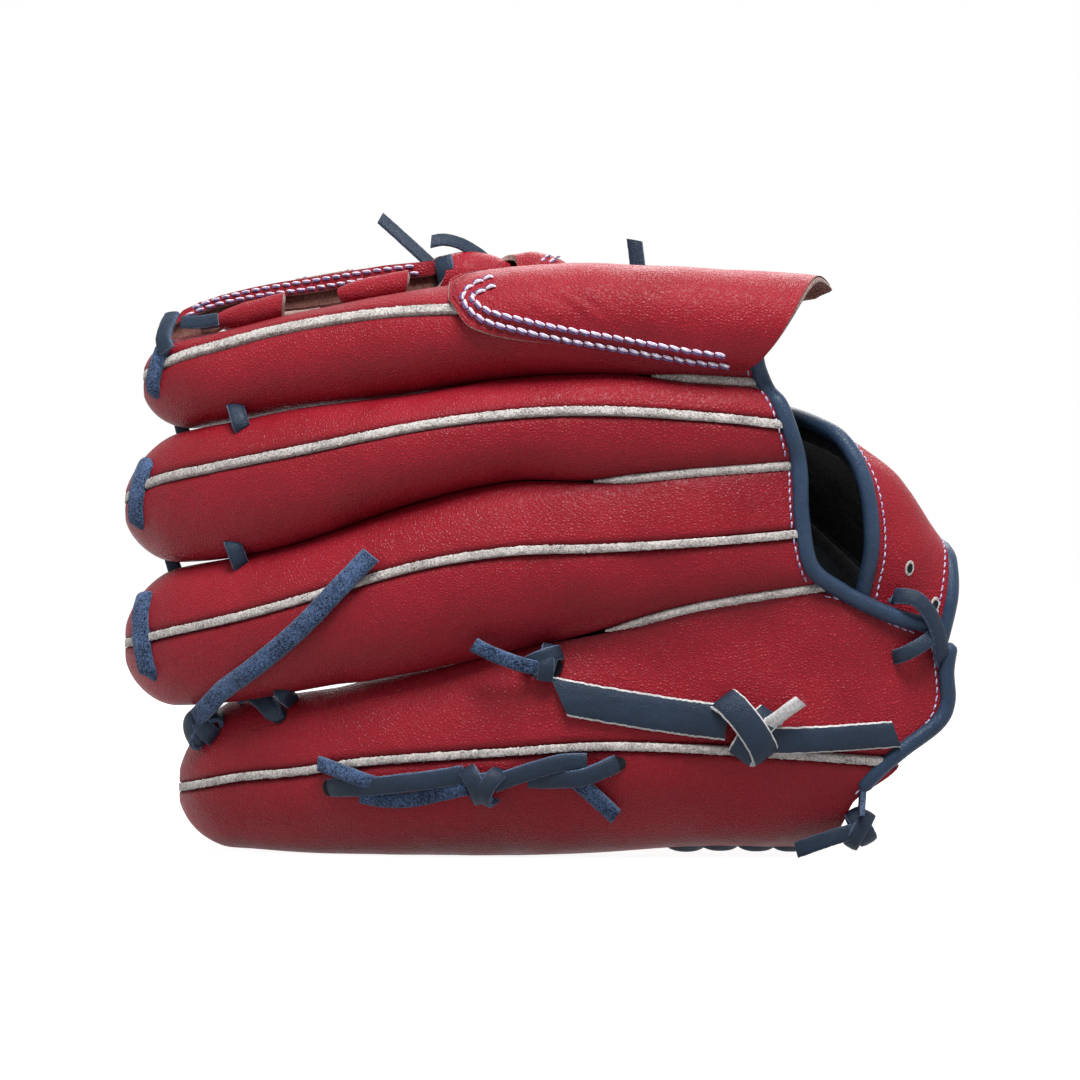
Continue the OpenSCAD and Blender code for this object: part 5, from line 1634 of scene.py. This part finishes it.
@dataclass
class Lacing(Part):
    """Every lace, knot and free end."""

    over_welt: float = WELT_PROUD + GAP

    def build_web_laces(self) -> None:
        """Builds the lace through the tabs, the lace ends at the web's foot and those on the thumb."""
        lace = self.laces()
        for place, start in zip(TAB_PLACES, (-0.85, -0.44)):
            lace.free([tab_end(place, mix(start, 0.44, t)) for t in (0, 0.3, 0.7, 1)], (0, -1, 0.3), width=4,
                      thick=1.6)
        lace.free(((-131, 70, 191), (-132.5, 66, 187), (-133.5, 63, 182), (-132, 61.5, 178)), (-0.5, -1, 0.2),
                  width=6, thick=1.8)
        lace.free(((-127, 64, 188), (-121, 62, 188), (-114, 61, 189)), (0, -1, 0.2), width=4.5, thick=1.7)
        lace.free(((-34, 52, 210), (-33, 50.5, 206), (-32, 51, 200)), (-0.3, -1, 0), width=6.5, thick=1.8)
        lace.free(((-57, 66, 225), (-52, 64.8, 220.5), (-45.5, 63, 214.5), (-38.5, 61.4, 208)),
                  (0.35, -0.9, 0.3),
                  width=4.2, thick=1.9, cuts=(0.3, 0))
        lace.free(((-38.5, 53, 215.6), (-34, 54, 216.4), (-28.5, 55.2, 215.2), (-23, 56.3, 212.2),
                   (-19, 57, 209)),
                  (0.1, -0.8, 0.6), width=5, thick=1.5, cuts=(-0.4, 0))
        settle(lace.build("web_index_lace"), "navy_lace", ("web_index_lace",))
        lace = self.laces()
        for x in (-84, -50):
            lace.free((finger_point(Digit.THUMB, x, 0.72, -1), finger_point(Digit.THUMB, x, 0.8, 1.5),
                       (x, 112.6, 190),
                       (x, 109.8, 195), (x, 106, 196)), (0, 0.95, 0.3), width=6.5)
        settle(lace.build("web_thumb_lace"), "navy_lace", ("web_thumb_lace",))
        lace = self.laces()
        foot = gusset_point(35, 0.27, -0.2)
        lace.free((foot + (0, 0, -2), foot + (0, 0.5, 9), foot + (-0.5, 1.5, 18), foot + (-1.5, 3, 27)),
                  (-0.15, -1, 0),
                  width=5.4, cuts=(0, -0.35))
        settle(lace.build("gusset_lace"), "navy_lace", ("gusset_lace",))

    def build_tip_laces(self) -> None:
        """Builds the loops over the fingertips and the short laces between the fingers."""
        lace = self.laces()
        top = self.over_welt
        lace.on_finger(Digit.INDEX,
                       ((-132.5, 181, -1), (-133.6, 178.6, 0.8), (-135.8, 173, top), (-137.2, 167.4, 0.6),
                                     (-137.2, 164.4, 0.2), (-137, 162.6, -1.4)), width=6, rough=True,
                                     stiff=0.8)
        lace.on_finger(Digit.MIDDLE,
                       ((-139, 138.6, -1), (-140, 136.6, 0.6), (-142.4, 130.5, top), (-143.6, 123, 0.8),
                                      (-143.2, 118, 0.4), (-142.8, 116, -1.2)), width=6.8, rough=True,
                                      stiff=0.8)
        lace.on_finger(Digit.RING,
                       ((-139.8, 91.6, -1), (-140.6, 89.4, 0.6), (-141.8, 83, 0.8), (-141.4, 76, top),
                                    (-139.8, 67.5, 0.6), (-138.8, 64.4, 0.4), (-138.4, 62.6, -1.2)),
                                    width=7.6, rough=True, stiff=0.8)
        settle(lace.build("fingertip_lace"), "navy_lace", ("fingertip_lace",))
        lace = self.laces()
        for digit, x, climb in ((Digit.INDEX, -107, 4), (Digit.MIDDLE, -107.5, 4), (Digit.RING, -90, -0.5)):
            below = Digit(digit.value + 1)
            high_z, low_z = section(digit, x).low_z, section(below, x).high_z
            high, low = on_back(digit, x, high_z + climb, 0.6), on_back(below, x + 2, low_z - 2, 0.5)
            dip = (high + low) / 2 + np.array((0, -1, 0))
            points = (high + (-0.8, 2.6, 1.5), high + (0, -0.4, 0), dip, low + (0, -0.4, 0),
                      low + (0.4, 2.4, -1))
            lace.free(points, (0.12, -1, 0.1), width=6)
        for x, z in ((-128, 149.5), (-131.5, 101.8)):
            lace.free(((x - 2, 80, z + 8), (x, 78, z), (x + 3, 80, z - 8)), (0, -1, 0), width=5)
        settle(lace.build("crotch_lace"), "navy_lace", ("crotch_lace",))

    def build_pinky_tip(self) -> None:
        """Builds the knot at the little fingertip, its long tail and its short end."""
        lace = self.laces()
        out = back_normal(Digit.PINKY, -118, 43)
        centre = on_back(Digit.PINKY, -119, 43, 2.6)
        lace.wrap(centre, out, 15, (6.6, 3.2), width=7.4, shift=-2)
        lace.wrap(centre, out, -62, (6.6, 4.2), width=6.6, tilt=1.2)
        lace.wrap(centre, out, 80, (5.6, 5.0), width=6, shift=2.6, tilt=-1)
        lace.free((on_back(Digit.PINKY, -106, 56, 1.6), on_back(Digit.PINKY, -101.5, 55, 2.4) + (0, -1.5, 0),
                   on_back(Digit.PINKY, -94.5, 50.5, 1.0), on_back(Digit.PINKY, -92, 48.5, -1.6)), out,
                   width=7)
        settle(lace.build("pinky_tip_lace"), "navy_lace", ("pinky_tip_lace",))
        lace = self.laces()
        places = smooth_path(((-103, 65, 1.9), (-97, 69, 1.3), (-88, 76, 1.1), (-78, 85, 2.3), (-69, 94, 2.1),
                              (-58, 104, 3.6)), 8.0)
        tail = [centre + (-2, -5.5, 3), centre + (3, -12, 8), centre + (8, -17, 13)]
        path = smooth_path([*tail, *(on_back(Digit.RING, x, z, lift) for x, z, lift in places)], 1.0)
        lace.run(path, np.tile(unit((-0.35, -1, 0.05)), (len(path), 1)), width=7, rough=True, cuts=(0, 0.15))
        piece = settle(lace.build("pinky_tip_tail"), "navy_lace", (), rides_with="pinky_tip_lace")
        tuple(to_frame(path[0]))
        [tuple(to_frame(p)) for p in path]

    def build_pinky_loop(self) -> None:
        """Builds the laces and the knot over the little finger's back, between their two holes."""
        lace = self.laces()
        pinky = Digit.PINKY
        lace.on_finger(pinky, ((-72.5, 24.5, -1.6), (-70, 25, 0.4), (-60, 25.6, 0.9), (-48, 27.3, 2.4),
                               (-38, 28.6, 2.6),
                               (-26, 30.6, 2.4)), width=6.4)
        lace.on_finger(pinky, ((-76.5, 32.8, 1.9), (-71, 31.2, 2.1), (-64, 29, 2.4), (-57, 26.6, 0.6)),
                       width=5.2, rough=True,
                       cuts=(0.2, 0))
        lace.on_finger(pinky, ((-62, 22.4, 0.3), (-54, 21.2, 0.5), (-44, 21.6, 0.8), (-34, 24, 1.4),
                               (-25, 26.4, 2.4)), width=5.2,
                       rough=True)
        lace.on_finger(pinky, ((-16, 27.6, 2.2), (-9, 30, 1.9), (0, 32.8, 1.8), (8, 34.8, 1.6),
                               (16, 35, 0.9)), width=6)
        lace.on_finger(pinky, ((-4, 29, 0.3), (4, 29, 0.7), (14, 30, 2.0), (22, 32.6, 1.0), (26, 34, -1.4)),
                       width=6.2)
        lace.on_finger(pinky, ((9, 31, 0.4), (14, 27.4, 0.7), (20, 22.4, 1.2), (26, 17.4, 2.2)), width=5.8,
                       rough=True,
                       cuts=(0, 0.25))
        out = back_normal(pinky, -20, 28)
        centre = on_back(pinky, -20.5, 28, 2.2)
        lace.wrap(centre, out, 118, (5.0, 3.1), width=6.4, shift=2.2, tilt=-1.4)
        lace.wrap(centre + (3, 0, -1), out, 62, (5.2, 3.8), width=5.8, shift=-1.5, tilt=1.6)
        lace.wrap(centre + (1, 0, 0.5), out, 12, (4.6, 2.6), width=5.6, tilt=0.6)
        settle(lace.build("pinky_loop_lace"), "navy_lace", ("pinky_loop_lace",))

    def build_ring_knot(self) -> None:
        """Builds the knot between the ring finger and the little finger."""
        lace = self.laces()
        out = unit(np.array((0.05, -1, -0.05)))
        centre = on_back(Digit.PINKY, 1.4, 67.3, 2.2)
        lace.wrap(centre, out, 75, (4.7, 3.0), width=6.2, shift=-1.0)
        lace.wrap(centre, out, 20, (5.2, 3.9), width=5, tilt=1.2, shift=1)
        start = centre + (-2, -3.4, -1.5)
        tail = (start, start + (-5, -0.6, 0.6), start + (-11, -0.6, 2.6), start + (-17, 0.2, 5.0),
                start + (-22, 0.8, 7.6))
        lace.free(tail, (0.1, -1, -0.25), width=5, rough=True, cuts=(0, -0.1))
        lace.free((centre + (0.5, -3.2, 2), centre + (0.8, -4.4, -1.5), centre + (0.2, -3, -6)), (0, -1, 0),
                  width=5.6)
        settle(lace.build("ring_crotch_knot"), "navy_lace", ("ring_crotch_knot",))

    def build_tie(self) -> None:
        """Builds the wide tie of the lining with its knot, its undyed edges showing."""
        lace = LaceMesh(self.finishes.tie)
        pinky, thin = Digit.PINKY, 1.6
        lace.on_finger(pinky,
                       ((6.5, 56.5, 1.6), (20, 54.4, 1.0), (38, 51.6, 0.8), (52, 49.6, 1.0), (64, 48.2, 2.0)),
                       width=12.4, thick=thin, cuts=(0.7, 0))
        lace.on_finger(pinky, ((76, 42.6, 2.2), (84, 42.2, 1.2), (98, 42.6, 0.7), (112, 43.4, 0.9),
                               (122.5, 44, 1.4)), width=9.2,
                       thick=thin, cuts=(0, 0.3))
        out = back_normal(pinky, 71, 46)
        centre = on_back(pinky, 70.5, 46, 2.0)
        lace.wrap(centre + (3.5, 0, -2.2), out, 55, (8.4, 3.4), width=9.4, thick=thin, tilt=1.5)
        lace.wrap(centre + (-0.8, 0, 0.4), out, 126, (11.6, 4.9), width=10.2, thick=thin, tilt=-1.8)
        lace.free((centre + (3, -2.2, 0), centre + (9, -2.6, 3.2), centre + (14.5, -2.2, 7.2),
                   centre + (18.5, -1.6, 10)),
                  (-0.5, -0.75, -0.6), width=4.6, thick=thin, rough=True, cuts=(0, 0.3))
        settle(lace.build("lining_tie"), "navy_lace", ("lining_tie",))

    def build_strap_lace(self) -> None:
        """Builds the lace that ties the strap to the heel, and the heel's own lace and knot."""
        lace = self.laces()
        lace.free(((122.4, 22, 90.8), (124.5, 17.4, 91.4), (129.5, 15.6, 90.2), (134, 16.6, 85),
                   (137, 18.4, 78),
                   (138, 21.5, 71), (138.5, 27, 68)), (0.35, -1, 0.15), width=5.4)
        lace.free(((122.6, 21.6, 70.4), (125, 17.6, 71.4), (130, 16.6, 74), (134.6, 18.6, 77),
                   (136.6, 22, 78.6)),
                  (0, -1, 0.1), width=5.2)
        settle(lace.build("strap_lace"), "navy_lace", ("strap_lace",))
        lace = self.laces()
        pinky = Digit.PINKY
        lace.free(((113.2, 24.5, 30.5), (112.6, 23.4, 24), (112, 22.6, 15.5)), (-1, -0.15, 0), width=3.4,
                  thick=2.1)
        out = unit(np.array((0.15, -1, -0.1)))
        centre = on_back(pinky, 105, 12.6, 2.4)
        centre[0] += 5
        lace.wrap(centre, out, 118, (5.0, 3.1), width=6.6, shift=-1.5)
        lace.wrap(centre + (1, 0, -0.4), out, 60, (5.4, 3.9), width=5.4, tilt=1.4)
        lace.free((centre + (-1, -3, -0.6), centre + (-7, -3.2, -2.4), centre + (-14, -2.4, -4.8),
                   centre + (-21, -1.2, -7.4)),
                  (0, -1, 0.1), width=5.6, cuts=(0, -0.1))
        for x in (50, 62, 75, 87):
            low = section(Digit.PINKY, x)
            edge = np.array((x, low.low_y, low.low_z))
            lace.free((edge + (-5, -3.5, 3.6), edge + (-3, -2.4, 1.6), edge + (1, -0.4, 0.6),
                       edge + (6, 2.5, 1.0),
                       edge + (9, 5.5, 3.4)), (0, -0.7, -0.7), width=4.6, thick=1.4)
        settle(lace.build("heel_lace"), "navy_lace", ("heel_lace",))

    def build_hole_shadows(self) -> None:
        """Sets dark discs at the punched eyes where laces enter the leather, as painted shadow in the holes.
        """
        hole_shadows = Gathered()
        for digit, x, z, half in (
                (Digit.PINKY, -73.6, 24.6, (2.3, 2.9)), (Digit.PINKY, 27, 34.2, (2.6, 2.4)),
                (Digit.PINKY, -91.5, 49, (2.6, 3.2)), (Digit.INDEX, -107, 157.6, (3.3, 1.2)),
                (Digit.MIDDLE, -107.5, 109.4, (3.3, 1.2)), (Digit.PINKY, 1.5, 67, (6.5, 4.4))):
            out = back_normal(digit, x, z)
            points = eye_points(on_back(digit, x, z, 0.12), out, unit(np.cross(out, UP)), half,
                                ((1.0, 0.0), (0.9, 0.12), (0.0, 0.1)), 24)
            hole_shadows.add(points, 24, caps=False)
        settle(hole_shadows.make("lace_holes", (self.finishes.fleece,)), "lining", (), rides_with="palm_leather")

    def build(self) -> None:
        """Builds all the lacing."""
        self.build_web_laces()
        self.build_tip_laces()
        self.build_pinky_tip()
        self.build_pinky_loop()
        self.build_ring_knot()
        self.build_tie()
        self.build_strap_lace()
        self.build_hole_shadows()


# ---- Studio ----


@dataclass
class Studio:
    """The pale floor, the soft lamps and the camera."""

    distance: float = 1400
    eye_height: float = 110.84
    view_width: float = 367.2
    floor_radius: float = 9.0

    def seen(self, tree: bpy.types.NodeTree) -> bpy.types.NodeSocket:
        """1 for a ray that is seen directly, in a reflection or through glass, and 0 for the others."""
        rays = add_node(tree, "ShaderNodeLightPath").outputs
        direct = math_node(tree, "MAXIMUM", rays["Is Camera Ray"], rays["Is Glossy Ray"])
        return math_node(tree, "MAXIMUM", direct, rays["Is Transmission Ray"])

    def build_floor(self) -> None:
        """Lays a round pale floor that keeps the glove's shadow."""
        count = 96
        angles = np.linspace(0, 2 * math.pi, count, endpoint=False)
        mesh = bpy.data.meshes.new("floor")
        mesh.from_pydata([(self.floor_radius * math.cos(a), self.floor_radius * math.sin(a),
                           0) for a in angles], [],
                         [tuple(range(count))])
        recipe = Recipe("white_paper_floor")
        tree = recipe.tree
        shader = add_node(tree, "ShaderNodeBsdfDiffuse", {"Color": linear("#b4b4b4"), "Roughness": 1.0})
        glow = add_node(tree, "ShaderNodeEmission", {"Color": linear("#ffffff"), "Strength": 0.91})
        both = add_node(tree, "ShaderNodeAddShader", {0: shader.outputs[0], 1: glow.outputs[0]})
        choice = add_node(tree, "ShaderNodeMixShader",
                          {0: self.seen(tree), 1: shader.outputs[0], 2: both.outputs[0]})
        add_node(tree, "ShaderNodeOutputMaterial", {"Surface": choice.outputs[0]})
        mesh.materials.append(recipe.material)
        floor = bpy.data.objects.new("floor", mesh)
        bpy.context.scene.collection.objects.link(floor)

    def build_lights(self) -> None:
        """Hangs the soft lamps and sets the white surroundings."""
        for name, place, size, power in (("key", (0.05, -0.66, 1.4), 0.6, 29),
                                         ("fill", (-1.3, -0.9, 0.5), 0.9, 2),
                                         ("side", (1.3, -0.5, 0.7), 0.8, 3),
                                         ("back", (0.2, 1.3, 1.2), 1.0, 12)):
            lamp = bpy.data.lights.new(name, "AREA")
            lamp.shape = "SQUARE"
            lamp.size = size
            lamp.energy = power
            holder = bpy.data.objects.new(name, lamp)
            holder.location = place
            holder.rotation_euler = (Vector((0, 0, 0.1)) - Vector(place)).to_track_quat("-Z", "Y").to_euler()
            bpy.context.scene.collection.objects.link(holder)
        world = bpy.data.worlds.new("white_room")
        bpy.context.scene.world = world
        world.use_nodes = True
        tree = world.node_tree
        tree.nodes.clear()
        ambient = add_node(tree, "ShaderNodeBackground", {"Color": linear("#ffffff"), "Strength": 0.2})
        white = add_node(tree, "ShaderNodeBackground", {"Color": linear("#ffffff"), "Strength": 1.0})
        choice = add_node(tree, "ShaderNodeMixShader",
                          {0: self.seen(tree), 1: ambient.outputs[0], 2: white.outputs[0]})
        add_node(tree, "ShaderNodeOutputWorld", {"Surface": choice.outputs[0]})

    def build_camera(self) -> None:
        """Sets the camera level in front of the back of the hand."""
        camera = bpy.data.cameras.new("camera")
        camera.sensor_width = 36
        camera.angle = 2 * math.atan(self.view_width / 2 / self.distance)
        holder = bpy.data.objects.new("camera", camera)
        holder.location = tuple(to_frame((0, -self.distance, self.eye_height)))
        holder.rotation_euler = (math.pi / 2, 0, 0)
        bpy.context.scene.collection.objects.link(holder)
        bpy.context.scene.camera = holder

    def build(self) -> None:
        """Builds the studio."""
        self.build_floor()
        self.build_lights()
        self.build_camera()
        bpy.context.scene.view_settings.view_transform = "Standard"


def main() -> None:
    """Builds the glove and its studio."""
    logging.basicConfig(level=logging.INFO, format="%(message)s")
    finishes = Finishes()
    for part in (Fingers, Palm, Hood, Edging, Strap, Inside, Web, Lacing):
        part(finishes).build()
    Studio().build()


if __name__ == "__main__":
    main()
